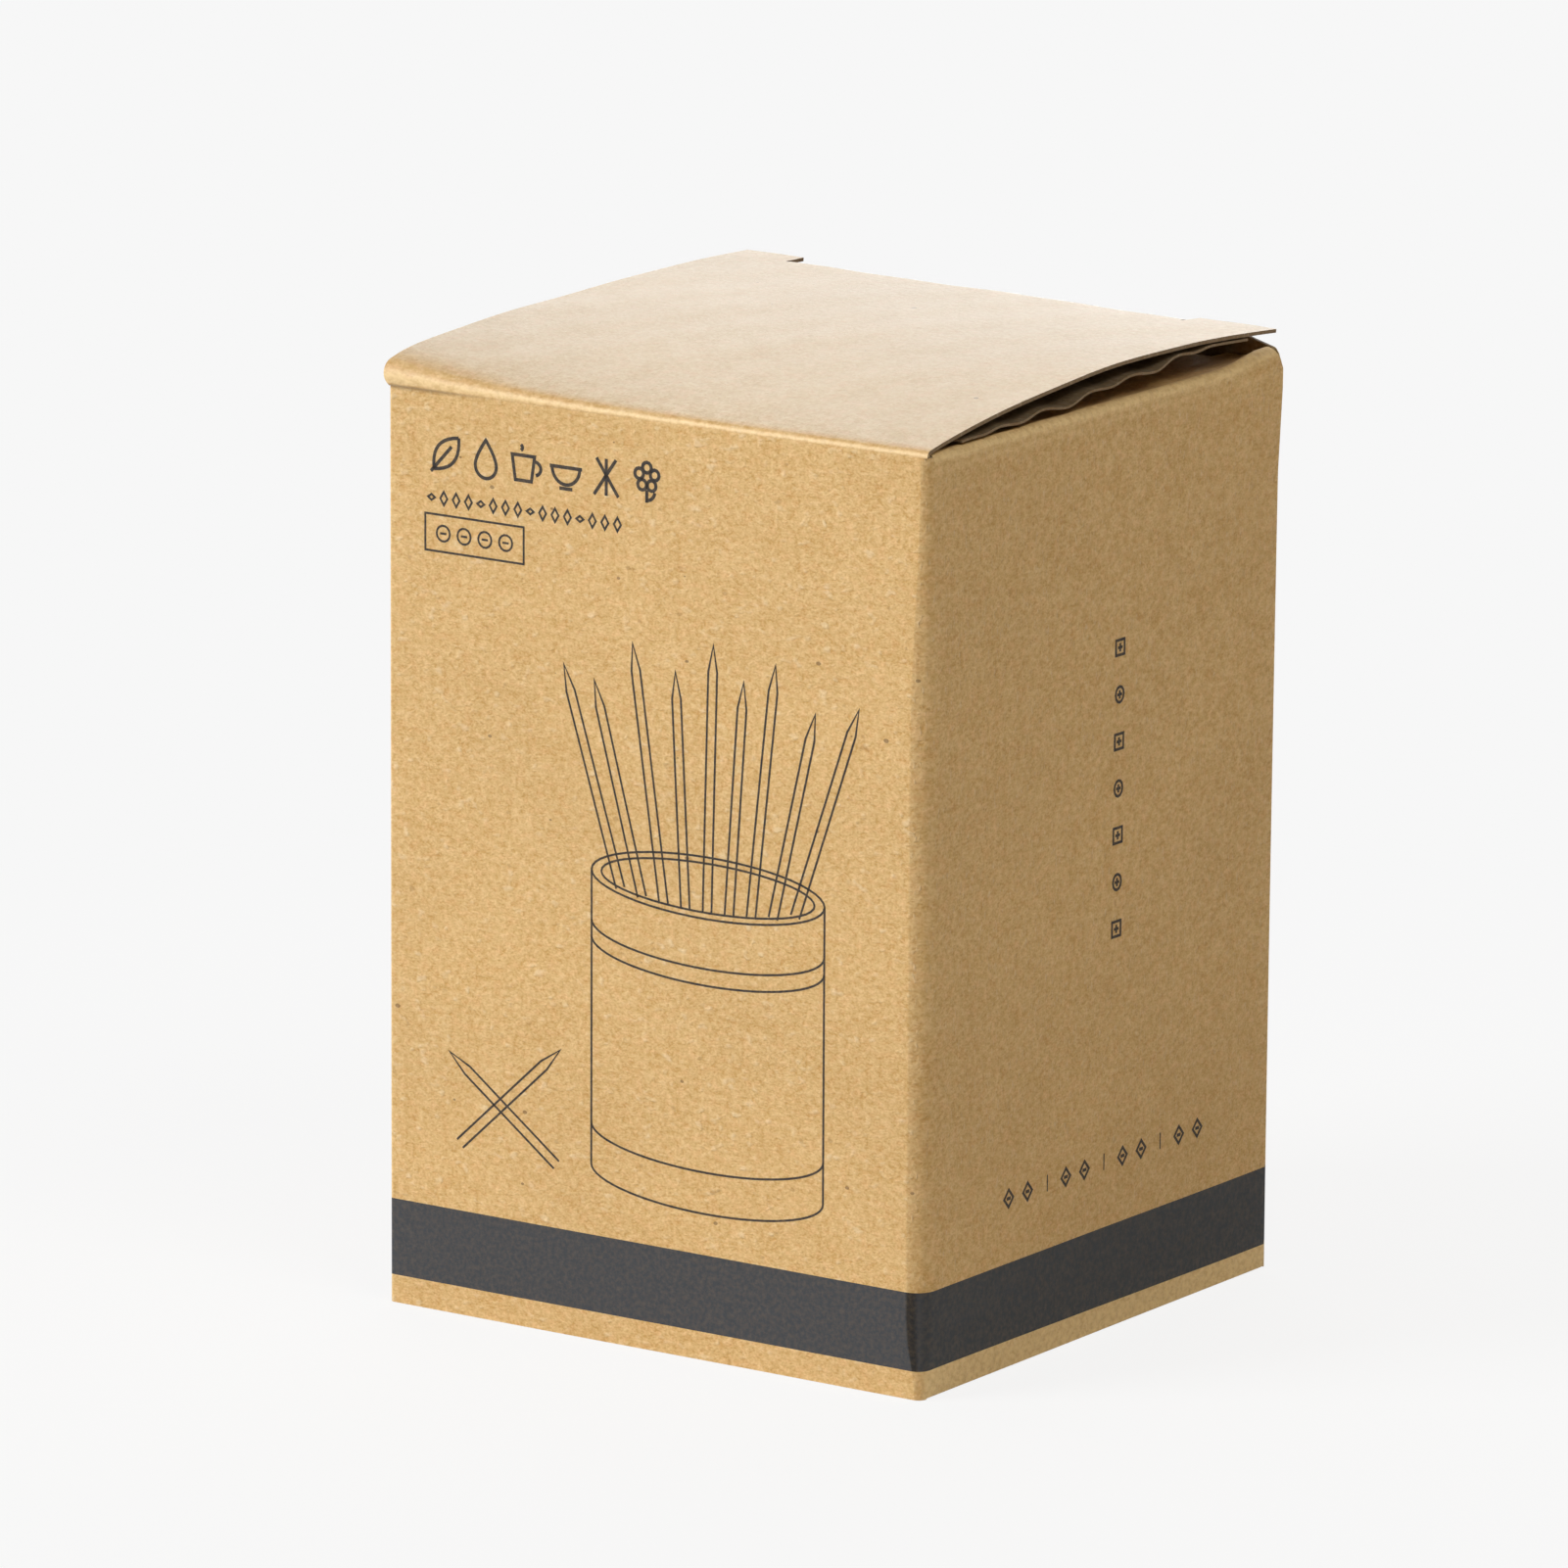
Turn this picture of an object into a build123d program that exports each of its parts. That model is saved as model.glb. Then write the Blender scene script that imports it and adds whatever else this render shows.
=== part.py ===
"""Kraft tuck-end carton with the press-to-open toothpick holder that stands inside it.

Millimetres, +Z up, front of the carton facing -Y, origin at the middle of the carton's foot.
"""

import os
from math import atan2, cos, degrees, hypot, radians, sin

from build123d import *

# Carton: outside of the sleeve, crease to crease
carton_width = 76.0
carton_depth = 74.0
carton_height = 112.0
board = 0.5
corner_radius = 1.4
crease_gap = 0.15
layer_gap = 0.15

# Closing panels and flaps
lid_side_play = 0.3
lid_bow = 5.0
lid_back_rise = 3.8
slit_length = 9.0
slit_tab = 0.9
tuck_depth = 14.0
tuck_lean = 12.0
tuck_inset = 0.6
tuck_rounding = 7.0
dust_middle_gap = 7.5
dust_front_play = 1.0
dust_back_play = 3.3
dust_rounding = 4.0
dust_shoulder = 6.0
liner_ply = 0.3
liner_start = 9.0
liner_end_part = 0.86
glue_width = 12.0
glue_taper = 5.0

# Holder: leaf plan, a square with two tight and two broad corners
holder_room = 5.5
head_room = 4.6
tight_corner = 10.0
side_straight = 2.0
shell = 2.0
thin_wall = 1.2
seat_gap = 0.1

# Holder base
plinth_inset = 4.0
plinth_height = 10.0
plinth_top = 1.5
plate_thickness = 2.0
pad_diameter = 6.0
pad_height = 1.0
pad_recess = 0.4
pad_circle_radius = 20.0
screw_circle_radius = 14.0
screw_diameter = 2.5
screw_clearance = 2.9
screw_head = 5.0
screw_head_height = 1.2
cross_length = 3.0
cross_width = 0.7
cross_depth = 0.7
screw_boss = 6.0
screw_bite = 6.0
screw_end_gap = 1.0

# Holder inside
floor_rise = 13.0
divider_drop = 5.5
tube_bore = 9.0
tube_wall = 1.2
insert_play = 0.3

# Lift mechanism
lift_travel = 42.0
rod_diameter = 5.0
rod_play = 0.1
collar_height = 4.0
collar_play = 0.3
tail_diameter = 4.4
tail_gap = 1.5
bush_height = 4.0
bush_flange = 1.0
pin_diameter = 1.2
pin_reach = 1.4
groove_width = 1.6
groove_depth = 1.5
heart_width = 3.0
heart_height = 5.0
wire_diameter = 0.6
spring_pitch = 1.25

# Holder lid
lid_height = 8.0
lid_inset = 0.3
lid_seat_gap = 0.2
lid_skin = 2.4
lid_edge_round = 0.6
plug_drop = 3.0
plug_play = 0.4
plug_lap = 2.0
rib_pitch = 3.5
rib_groove = 1.3
rib_depth = 0.8
rod_boss = 9.0

# Levels and hinge lines of the carton
half_board = board / 2
hinge_drop = half_board + crease_gap
front_hinge_y = carton_depth / 2 - half_board
side_hinge_x = carton_width / 2 - half_board
lid_hinge_z = carton_height - half_board
dust_hinge_z = lid_hinge_z - board - layer_gap
floor_lid_z = half_board
floor_dust_z = floor_lid_z + board + layer_gap
lid_half_width = carton_width / 2 - lid_side_play
tuck_half_width = lid_half_width - slit_length
lid_run = 2 * front_hinge_y - tuck_inset
dust_reach = side_hinge_x - dust_middle_gap / 2

# Levels of the holder, which fills the carton less the room that its flaps need
holder_side = min(carton_width, carton_depth) - 2 * board - 2 * holder_room
holder_foot = floor_dust_z + half_board + seat_gap
plate_foot = holder_foot + pad_height - pad_recess
plinth_foot = plate_foot + plate_thickness
cup_foot = plinth_foot + plinth_height - plate_thickness
lid_top = dust_hinge_z - half_board - head_room
cup_rim = lid_top - lid_height - lid_seat_gap
lid_foot = cup_rim + lid_seat_gap
pick_floor = cup_foot + shell + floor_rise
divider_top = cup_rim - divider_drop
bush_foot = divider_top - bush_height
collar_top = bush_foot - lift_travel
collar_foot = collar_top - collar_height
spring_seat = pick_floor + shell

os.makedirs("parts", exist_ok=True)


def leaf(inset):
    """Plan of the holder, moved inward by inset on every side."""
    side = holder_side - 2 * inset
    tight = tight_corner - inset
    with BuildSketch() as plan:
        Rectangle(side, side)
        rising = plan.vertices().sort_by(Axis((0, 0, 0), (1, 1, 0)))
        fillet([rising[0], rising[-1]], tight)
        falling = plan.vertices().sort_by(Axis((0, 0, 0), (1, -1, 0)))
        fillet([falling[0], falling[-1]], side - tight - side_straight)
    return plan.sketch


def wall(node, words, corners, foot, top):
    """Writes one wall of the sleeve, cut from it on the mitre through each corner."""
    with BuildPart() as panel:
        with BuildSketch(Plane.XY.offset(foot)):
            RectangleRounded(carton_width, carton_depth, corner_radius)
            RectangleRounded(
                carton_width - 2 * board,
                carton_depth - 2 * board,
                corner_radius - board,
                mode=Mode.SUBTRACT,
            )
            Polygon(*corners, align=None, mode=Mode.INTERSECT)
        extrude(amount=top - foot)
    panel.part.label = words
    export_step(panel.part, "parts/" + node + ".step")


def mitre(along_x, sign):
    """Corners of the region that one wall keeps, for wall()."""
    reach = 4 * board + corner_radius
    half_x = carton_width / 2
    half_y = carton_depth / 2
    if along_x:
        return [
            (-half_x, sign * half_y),
            (half_x, sign * half_y),
            (half_x - reach, sign * (half_y - reach)),
            (-half_x + reach, sign * (half_y - reach)),
        ]
    return [
        (sign * half_x, -half_y),
        (sign * half_x, half_y),
        (sign * (half_x - reach), half_y - reach),
        (sign * (half_x - reach), -half_y + reach),
    ]


def flap(node, words, hinge, outline, rounding):
    """Writes a flat flap: hinge line along the plane's X, sheet along its Y, with a round root edge."""
    ends = [point[0] for point in outline if point[1] == 0]
    with BuildPart() as sheet:
        with BuildSketch(hinge.offset(-half_board)) as plan:
            Polygon(*outline, align=None)
            if rounding:
                fillet(plan.vertices().group_by(Axis.Y)[-1], rounding)
        extrude(amount=board)
        root = Plane(hinge.origin, x_dir=hinge.y_dir, z_dir=hinge.x_dir)
        with BuildSketch(root.offset(min(ends))):
            Circle(half_board)
        extrude(amount=max(ends) - min(ends))
    sheet.part.label = words
    export_step(sheet.part, "parts/" + node + ".step")


# Sleeve
lid_wall_foot = floor_lid_z + hinge_drop
lid_wall_top = lid_hinge_z - hinge_drop
dust_wall_foot = floor_dust_z + hinge_drop
dust_wall_top = dust_hinge_z - hinge_drop
wall("front_wall", "Front wall", mitre(True, -1), lid_wall_foot, lid_wall_top)
wall("back_wall", "Back wall", mitre(True, 1), lid_wall_foot, lid_wall_top)
wall("right_wall", "Right wall", mitre(False, 1), dust_wall_foot, dust_wall_top)
wall("left_wall", "Left wall", mitre(False, -1), dust_wall_foot, dust_wall_top)

glue_back = carton_depth / 2 - board - corner_radius
glue_foot = dust_wall_foot + glue_taper
glue_top = dust_wall_top - glue_taper
with BuildPart() as glue_flap:
    with BuildSketch(Plane.YZ.offset(-carton_width / 2 + board)):
        Polygon(
            (glue_back, glue_foot),
            (glue_back, glue_top),
            (glue_back - glue_width, glue_top - glue_taper),
            (glue_back - glue_width, glue_foot + glue_taper),
            align=None,
        )
    extrude(amount=board)
glue_flap.part.label = "Glue flap of the seam"
export_step(glue_flap.part, "parts/glue_flap.step")

# Top lid: a bowed sheet, its middle line an arc from the hinge through the bow to the raised back edge
mid_run = lid_run / 2
chord = hypot(lid_run, lid_back_rise)
sag = (lid_bow - lid_back_rise / 2) * lid_run / chord
arc_radius = (chord * chord / 4 + sag * sag) / (2 * sag)
arc_drop = arc_radius - sag
arc_y = mid_run + arc_drop * lid_back_rise / chord
arc_z = lid_back_rise / 2 - arc_drop * lid_run / chord
arc_start = degrees(atan2(-arc_z, -arc_y))
arc_sweep = degrees(atan2(lid_back_rise - arc_z, lid_run - arc_y)) - arc_start
tab_sweep = degrees(slit_tab / arc_radius)
crease_sweep = degrees((half_board + crease_gap) / arc_radius)


def bowed(part_of_arc):
    """Point of the lid's middle line, in the carton's Y and Z."""
    turn = radians(arc_start + part_of_arc * arc_sweep)
    return (
        arc_y + arc_radius * cos(turn) - front_hinge_y,
        arc_z + arc_radius * sin(turn) + lid_hinge_z,
    )


arc_centre = (arc_y - front_hinge_y, arc_z + lid_hinge_z)


def bowed_strip(start, sweep, thickness):
    """Face between two arcs on either side of the lid's middle line."""
    with BuildSketch() as strip:
        with BuildLine():
            upper = CenterArc(arc_centre, arc_radius + thickness / 2, start, sweep)
            lower = CenterArc(arc_centre, arc_radius - thickness / 2, start, sweep)
            Line(upper @ 0, lower @ 0)
            Line(upper @ 1, lower @ 1)
        make_face()
    return strip.sketch


with BuildPart() as top_lid:
    with BuildSketch(Plane.YZ.offset(-lid_half_width)):
        add(bowed_strip(arc_start, arc_sweep - tab_sweep, board))
        with Locations((-front_hinge_y, lid_hinge_z)):
            Circle(half_board)
    extrude(amount=2 * lid_half_width)
    with BuildSketch(Plane.YZ.offset(-tuck_half_width)):
        add(bowed_strip(arc_start + arc_sweep + crease_sweep, -2 * tab_sweep - crease_sweep, 3 * board))
    extrude(amount=2 * tuck_half_width, mode=Mode.SUBTRACT)
top_lid.part.label = "Top lid"
export_step(top_lid.part, "parts/top_lid.step")

liner_back = bowed(liner_end_part)
liner_drop = half_board + liner_ply + layer_gap
with BuildPart() as lid_liner:
    with BuildSketch(Plane.YZ.offset(-lid_half_width)):
        Polygon(
            (liner_start - front_hinge_y, lid_hinge_z + half_board),
            (liner_back[0], liner_back[1] - liner_drop),
            (liner_back[0], liner_back[1] - liner_drop + liner_ply),
            (liner_start - front_hinge_y, lid_hinge_z + half_board + liner_ply),
            align=None,
        )
    extrude(amount=2 * lid_half_width)
lid_liner.part.label = "Inner ply of the top lid"
export_step(lid_liner.part, "parts/lid_liner.step")

# Tuck flaps
lean_in = sin(radians(tuck_lean))
lean_down = cos(radians(tuck_lean))
tuck_root = tuck_half_width - 2 * layer_gap
tuck_outline = [
    (-tuck_root, 0),
    (tuck_root, 0),
    (tuck_root - tuck_rounding / 2, tuck_depth),
    (-tuck_root + tuck_rounding / 2, tuck_depth),
]
top_tuck_hinge = Plane((0, *bowed(1)), x_dir=(1, 0, 0), z_dir=(0, lean_down, -lean_in))
flap("top_tuck_flap", "Top tuck flap", top_tuck_hinge, tuck_outline, tuck_rounding)

bottom_tuck_line = (0, front_hinge_y - lid_run, floor_lid_z)
bottom_tuck_hinge = Plane(bottom_tuck_line, x_dir=(1, 0, 0), z_dir=(0, -lean_down, lean_in))
flap("bottom_tuck_flap", "Bottom tuck flap", bottom_tuck_hinge, tuck_outline, tuck_rounding)

# Bottom lid, hinged on the back wall
crease_edge = lid_run - half_board - crease_gap
tab_edge = lid_run + slit_tab
bottom_lid_outline = [
    (-lid_half_width, 0),
    (lid_half_width, 0),
    (lid_half_width, tab_edge),
    (tuck_half_width, tab_edge),
    (tuck_half_width, crease_edge),
    (-tuck_half_width, crease_edge),
    (-tuck_half_width, tab_edge),
    (-lid_half_width, tab_edge),
]
bottom_lid_hinge = Plane((0, front_hinge_y, floor_lid_z), x_dir=(-1, 0, 0), z_dir=(0, 0, 1))
flap("bottom_lid", "Bottom lid", bottom_lid_hinge, bottom_lid_outline, 0)

# Dust flaps: cut back at 45 degrees on the lid's hinge side, so that they can rise with the lid
dust_near = dust_front_play - front_hinge_y
dust_far = front_hinge_y - dust_back_play
dust_outline = [
    (dust_near, 0),
    (-dust_near, 0),
    (-dust_near, dust_shoulder),
    (dust_far, dust_shoulder),
    (dust_far, dust_reach),
    (dust_near + dust_reach, dust_reach),
]
dust_places = [
    ("top_dust_flap_right", "Right top dust flap", side_hinge_x, dust_hinge_z, 1, 1),
    ("top_dust_flap_left", "Left top dust flap", -side_hinge_x, dust_hinge_z, 1, -1),
    ("bottom_dust_flap_right", "Right bottom dust flap", side_hinge_x, floor_dust_z, -1, -1),
    ("bottom_dust_flap_left", "Left bottom dust flap", -side_hinge_x, floor_dust_z, -1, 1),
]
for dust_node, dust_words, dust_x, dust_z, dust_run, dust_face in dust_places:
    dust_hinge = Plane((dust_x, 0, dust_z), x_dir=(0, dust_run, 0), z_dir=(0, 0, dust_face))
    flap(dust_node, dust_words, dust_hinge, dust_outline, dust_rounding)

# Holder base
with BuildPart() as foot_pads:
    with BuildSketch(Plane.XY.offset(holder_foot)):
        with PolarLocations(pad_circle_radius, 4):
            Circle(pad_diameter / 2)
    extrude(amount=pad_height)
foot_pads.part.label = "Foot pads"
export_step(foot_pads.part, "parts/foot_pads.step")

with BuildPart() as base_plate:
    with BuildSketch(Plane.XY.offset(plate_foot)):
        add(leaf(plinth_inset))
        with PolarLocations(screw_circle_radius, 4, 45):
            Circle(screw_clearance / 2, mode=Mode.SUBTRACT)
    extrude(amount=plate_thickness)
    with BuildSketch(Plane.XY.offset(plate_foot)):
        with PolarLocations(pad_circle_radius, 4):
            Circle(pad_diameter / 2)
    extrude(amount=pad_recess, mode=Mode.SUBTRACT)
    with BuildSketch(Plane.XY.offset(plate_foot)):
        with PolarLocations(screw_circle_radius, 4, 45):
            Circle(screw_head / 2 + layer_gap)
    extrude(amount=screw_head_height, mode=Mode.SUBTRACT)
base_plate.part.label = "Base plate"
export_step(base_plate.part, "parts/base_plate.step")

with BuildPart() as plinth_base:
    with BuildSketch(Plane.XY.offset(plinth_foot)):
        add(leaf(plinth_inset))
    extrude(amount=cup_foot - plinth_foot)
    with BuildSketch(Plane.XY.offset(plinth_foot)):
        add(leaf(plinth_inset + shell))
        with PolarLocations(screw_circle_radius, 4, 45):
            Circle(screw_boss / 2, mode=Mode.SUBTRACT)
    extrude(amount=cup_foot - plinth_top - plinth_foot, mode=Mode.SUBTRACT)
    with BuildSketch(Plane.XY.offset(plinth_foot)):
        with PolarLocations(screw_circle_radius, 4, 45):
            Circle(screw_clearance / 2)
    extrude(amount=cup_foot - plinth_foot, mode=Mode.SUBTRACT)
plinth_base.part.label = "Plinth base"
export_step(plinth_base.part, "parts/plinth_base.step")

screw_shoulder = plate_foot + screw_head_height
screw_tip = cup_foot + shell + screw_bite - screw_end_gap
with BuildPart() as base_screws:
    with BuildSketch(Plane.XY.offset(screw_shoulder)):
        with PolarLocations(screw_circle_radius, 4, 45):
            Circle(screw_head / 2)
    extrude(amount=layer_gap - screw_head_height)
    with BuildSketch(Plane.XY.offset(screw_shoulder)):
        with PolarLocations(screw_circle_radius, 4, 45):
            Circle(screw_diameter / 2)
    extrude(amount=screw_tip - screw_shoulder)
    with BuildSketch(Plane.XY.offset(plate_foot)):
        with PolarLocations(screw_circle_radius, 4, 45):
            Rectangle(cross_length, cross_width)
            Rectangle(cross_width, cross_length)
    extrude(amount=layer_gap + cross_depth, mode=Mode.SUBTRACT)
base_screws.part.label = "Base screws"
export_step(base_screws.part, "parts/base_screws.step")

# Cup and insert
with BuildPart() as cup_shell:
    with BuildSketch(Plane.XY.offset(cup_foot)):
        add(leaf(0))
    extrude(amount=cup_rim - cup_foot)
    fillet(cup_shell.faces().sort_by(Axis.Z)[0].edges(), shell)
    with BuildSketch(Plane.XY.offset(cup_foot + shell)):
        add(leaf(shell))
        with PolarLocations(screw_circle_radius, 4, 45):
            Circle(screw_boss / 2, mode=Mode.SUBTRACT)
    extrude(amount=screw_bite, mode=Mode.SUBTRACT)
    with BuildSketch(Plane.XY.offset(cup_foot + shell + screw_bite)):
        add(leaf(shell))
    extrude(amount=cup_rim - cup_foot - shell - screw_bite, mode=Mode.SUBTRACT)
    with BuildSketch(Plane.XY.offset(cup_foot)):
        with PolarLocations(screw_circle_radius, 4, 45):
            Circle(screw_diameter / 2)
    extrude(amount=shell + screw_bite, mode=Mode.SUBTRACT)
cup_shell.part.label = "Cup shell"
export_step(cup_shell.part, "parts/cup_shell.step")

insert_inset = shell + insert_play
tube_radius = tube_bore / 2 + tube_wall
with BuildPart() as divider_insert:
    with BuildSketch(Plane.XY.offset(cup_foot + shell)):
        add(leaf(insert_inset))
        add(leaf(insert_inset + thin_wall), mode=Mode.SUBTRACT)
    extrude(amount=floor_rise)
    with BuildSketch(Plane.XY.offset(pick_floor)):
        add(leaf(insert_inset))
    extrude(amount=shell)
    with BuildSketch(Plane.XY.offset(spring_seat)):
        Rectangle(holder_side, thin_wall)
        Rectangle(thin_wall, holder_side)
        add(leaf(insert_inset), mode=Mode.INTERSECT)
        Circle(tube_radius)
    extrude(amount=divider_top - spring_seat)
    with BuildSketch(Plane.XY.offset(spring_seat)):
        Circle(tube_bore / 2)
    extrude(amount=divider_top - spring_seat, mode=Mode.SUBTRACT)
divider_insert.part.label = "Divider insert"
export_step(divider_insert.part, "parts/divider_insert.step")

# Lift mechanism
rod_radius = rod_diameter / 2
pin_level = bush_foot + bush_height / 2
with BuildPart() as guide_bush:
    with BuildSketch(Plane.XY.offset(bush_foot)):
        Circle(tube_bore / 2)
    extrude(amount=bush_height)
    with BuildSketch(Plane.XY.offset(divider_top)):
        Circle(tube_radius)
    extrude(amount=bush_flange)
    with BuildSketch(Plane.XY.offset(bush_foot)):
        Circle(rod_radius + rod_play)
    extrude(amount=bush_height + bush_flange, mode=Mode.SUBTRACT)
    with BuildSketch(Plane.XZ):
        with Locations((0, pin_level)):
            Circle(pin_diameter / 2)
    extrude(amount=tube_bore, mode=Mode.SUBTRACT)
guide_bush.part.label = "Guide bush"
export_step(guide_bush.part, "parts/guide_bush.step")

pin_tip = rod_radius - pin_reach
with BuildPart() as cam_pin:
    with BuildSketch(Plane.XZ.offset(pin_tip)):
        with Locations((0, pin_level)):
            Circle(pin_diameter / 2)
    extrude(amount=tube_bore / 2 - pin_tip - rod_play)
cam_pin.part.label = "Heart-cam pin"
export_step(cam_pin.part, "parts/cam_pin.step")

rod_top = lid_top - lid_skin - lid_seat_gap
tail_foot = spring_seat + tail_gap
groove_foot = pin_level - lift_travel - groove_width / 2
with BuildPart() as lift_rod:
    with BuildSketch(Plane.XY.offset(tail_foot)):
        Circle(tail_diameter / 2)
    extrude(amount=collar_foot - tail_foot)
    with BuildSketch(Plane.XY.offset(collar_foot)):
        Circle(tube_bore / 2 - collar_play)
    extrude(amount=collar_height)
    with BuildSketch(Plane.XY.offset(collar_top)):
        Circle(rod_radius)
    extrude(amount=rod_top - collar_top)
    with BuildSketch(Plane.XZ.offset(rod_radius - groove_depth)):
        with Locations((0, groove_foot)):
            Rectangle(groove_width, pin_level - groove_foot, align=(Align.CENTER, Align.MIN))
        with Locations((0, pin_level + groove_width / 2)):
            Rectangle(heart_width, heart_height, align=(Align.CENTER, Align.MAX))
    extrude(amount=rod_diameter, mode=Mode.SUBTRACT)
lift_rod.part.label = "Lift rod"
export_step(lift_rod.part, "parts/lift_rod.step")

spring_radius = tube_bore / 2 - collar_play - wire_diameter / 2
spring_foot = spring_seat + wire_diameter / 2 + rod_play
spring_rise = collar_foot - wire_diameter / 2 - rod_play - spring_foot
with BuildPart() as lift_spring:
    with BuildLine():
        coil = Helix(spring_pitch, spring_rise, spring_radius, center=(0, 0, spring_foot))
    with BuildSketch(Plane(coil @ 0, z_dir=coil % 0)):
        Circle(wire_diameter / 2)
    sweep(is_frenet=True)
lift_spring.part.label = "Lift spring"
export_step(lift_spring.part, "parts/lift_spring.step")

# Holder lid
with BuildPart() as lid_inner_plate:
    with BuildSketch(Plane.XY.offset(cup_rim - plug_drop)):
        add(leaf(shell + plug_play))
        Circle(rod_radius, mode=Mode.SUBTRACT)
    extrude(amount=plug_drop + lid_seat_gap + plug_lap)
lid_inner_plate.part.label = "Lid inner plate"
export_step(lid_inner_plate.part, "parts/lid_inner_plate.step")

rib_count = int(holder_side / rib_pitch)
with BuildPart() as lid_cap:
    with BuildSketch(Plane.XY.offset(lid_foot)):
        add(leaf(lid_inset))
    extrude(amount=lid_height)
    fillet(lid_cap.edges().filter_by(Plane.XY), lid_edge_round)
    with BuildSketch(Plane.XY.offset(lid_foot)):
        add(leaf(lid_inset + shell))
    extrude(amount=lid_height - lid_skin, mode=Mode.SUBTRACT)
    with BuildSketch(Plane.XY.offset(lid_foot + plug_lap)):
        Circle(rod_boss / 2)
        Circle(rod_radius, mode=Mode.SUBTRACT)
    extrude(amount=lid_height - lid_skin - plug_lap)
    with BuildSketch(Plane.XY.offset(lid_top - rib_depth)):
        with GridLocations(0, rib_pitch, 1, rib_count):
            Rectangle(2 * holder_side, rib_groove)
    extrude(amount=rib_depth, mode=Mode.SUBTRACT)
lid_cap.part.label = "Lid cap"
export_step(lid_cap.part, "parts/lid_cap.step")
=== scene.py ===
from math import atan, cos, exp, pi, radians, sin

import bpy
from mathutils import Matrix, Vector


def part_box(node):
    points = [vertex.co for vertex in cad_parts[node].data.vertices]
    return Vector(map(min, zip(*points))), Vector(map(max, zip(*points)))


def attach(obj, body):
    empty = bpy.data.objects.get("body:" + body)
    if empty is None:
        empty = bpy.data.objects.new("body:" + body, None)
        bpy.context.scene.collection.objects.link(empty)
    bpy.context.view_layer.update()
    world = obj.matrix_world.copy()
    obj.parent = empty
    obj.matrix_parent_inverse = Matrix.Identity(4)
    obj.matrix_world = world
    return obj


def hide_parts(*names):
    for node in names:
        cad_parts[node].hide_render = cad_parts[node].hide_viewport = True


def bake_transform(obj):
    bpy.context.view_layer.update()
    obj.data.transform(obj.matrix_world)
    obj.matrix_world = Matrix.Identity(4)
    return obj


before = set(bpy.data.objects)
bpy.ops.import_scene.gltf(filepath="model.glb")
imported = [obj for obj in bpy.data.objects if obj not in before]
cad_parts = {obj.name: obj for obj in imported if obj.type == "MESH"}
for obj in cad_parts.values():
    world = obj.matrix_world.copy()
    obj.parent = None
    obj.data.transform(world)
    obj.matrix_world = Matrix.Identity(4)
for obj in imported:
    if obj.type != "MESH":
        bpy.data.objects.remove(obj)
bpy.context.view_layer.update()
mm = 0.001

bpy.context.scene.view_settings.view_transform = "Standard"

# the carton's outside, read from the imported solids, in millimetres
carton = {
    "right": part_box("right_wall")[1].x / mm,
    "back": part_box("back_wall")[1].y / mm,
    "height": 112.0,  # crease to crease
    "board": 0.45,
    "nearRound": 2.45,  # the crease between front and right panel, blunt from handling
    "nearTop": 1.2,  # the same crease under the lid
    "nearFoot": 1.1,  # and at the foot
    "cornerRound": 0.5,
    "seamShort": 0.7,  # the left panel stops short of the back one
    "leftEase": 0.3,  # the left panel stands out a little
    "bandLow": 3.47,
    "bandHigh": 12.82,
    "bandSlip": 0.5,  # the print runs down a little towards the back of the right panel
}


def smoothStep(low, high, value):
    part = min(1.0, max(0.0, (value - low) / (high - low)))
    return part * part * (3.0 - 2.0 * part)


def mix(a, b, part):
    return a + (b - a) * part


def stops(low, high, count):
    return [mix(low, high, k / count) for k in range(count + 1)]


def widthShare(x):
    return (x + carton["right"]) / (2 * carton["right"])


def depthShare(y):
    return (y + carton["back"]) / (2 * carton["back"])


def deselectAll():
    if bpy.context.object and bpy.context.object.mode != "OBJECT":
        bpy.ops.object.mode_set(mode="OBJECT")
    bpy.ops.object.select_all(action="DESELECT")


# node helpers

noiseSpan = (0.3, 0.7)  # most of a noise lies between these


def addNode(tree, kind, **values):
    node = tree.nodes.new(kind)
    node.location = (200 * len(tree.nodes), -600)  # in a row under the shader
    for name, value in values.items():
        setattr(node, name, value)
    return node


def feed(tree, socket, value):
    # a plain value is set on the socket, an output is linked to it
    if isinstance(value, (int, float, tuple)):
        socket.default_value = value
    else:
        tree.links.new(value, socket)


def feedAll(tree, node, **values):
    for name, value in values.items():
        feed(tree, node.inputs[name], value)


def mathNode(tree, operation, *values, clamp=False):
    node = addNode(tree, "ShaderNodeMath", operation=operation, use_clamp=clamp)
    for socket, value in zip(node.inputs, values):
        feed(tree, socket, value)
    return node.outputs[0]


def mixColour(tree, part, first, second, blend="MIX"):
    node = addNode(tree, "ShaderNodeMix", data_type="RGBA", blend_type=blend)
    for socket, value in ((node.inputs["Factor"], part), (node.inputs[6], first), (node.inputs[7], second)):
        feed(tree, socket, value)
    return node.outputs[2]


def noise(tree, vector, scale, detail=2.0, rough=0.5):
    node = addNode(tree, "ShaderNodeTexNoise")
    feedAll(tree, node, Vector=vector, Scale=scale, Detail=detail, Roughness=rough)
    return node.outputs["Fac"]


def turned(tree, vector, angles, scale):
    node = addNode(tree, "ShaderNodeMapping")
    feedAll(tree, node, Vector=vector, Rotation=angles, Scale=scale)
    return node.outputs[0]


def spread(tree, value, low, high, outLow=0.0, outHigh=1.0):
    node = addNode(tree, "ShaderNodeMapRange", clamp=True)
    for name, number in (("Value", value), ("From Min", low), ("From Max", high), ("To Min", outLow),
                         ("To Max", outHigh)):
        feed(tree, node.inputs[name], number)
    return node.outputs[0]


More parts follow.
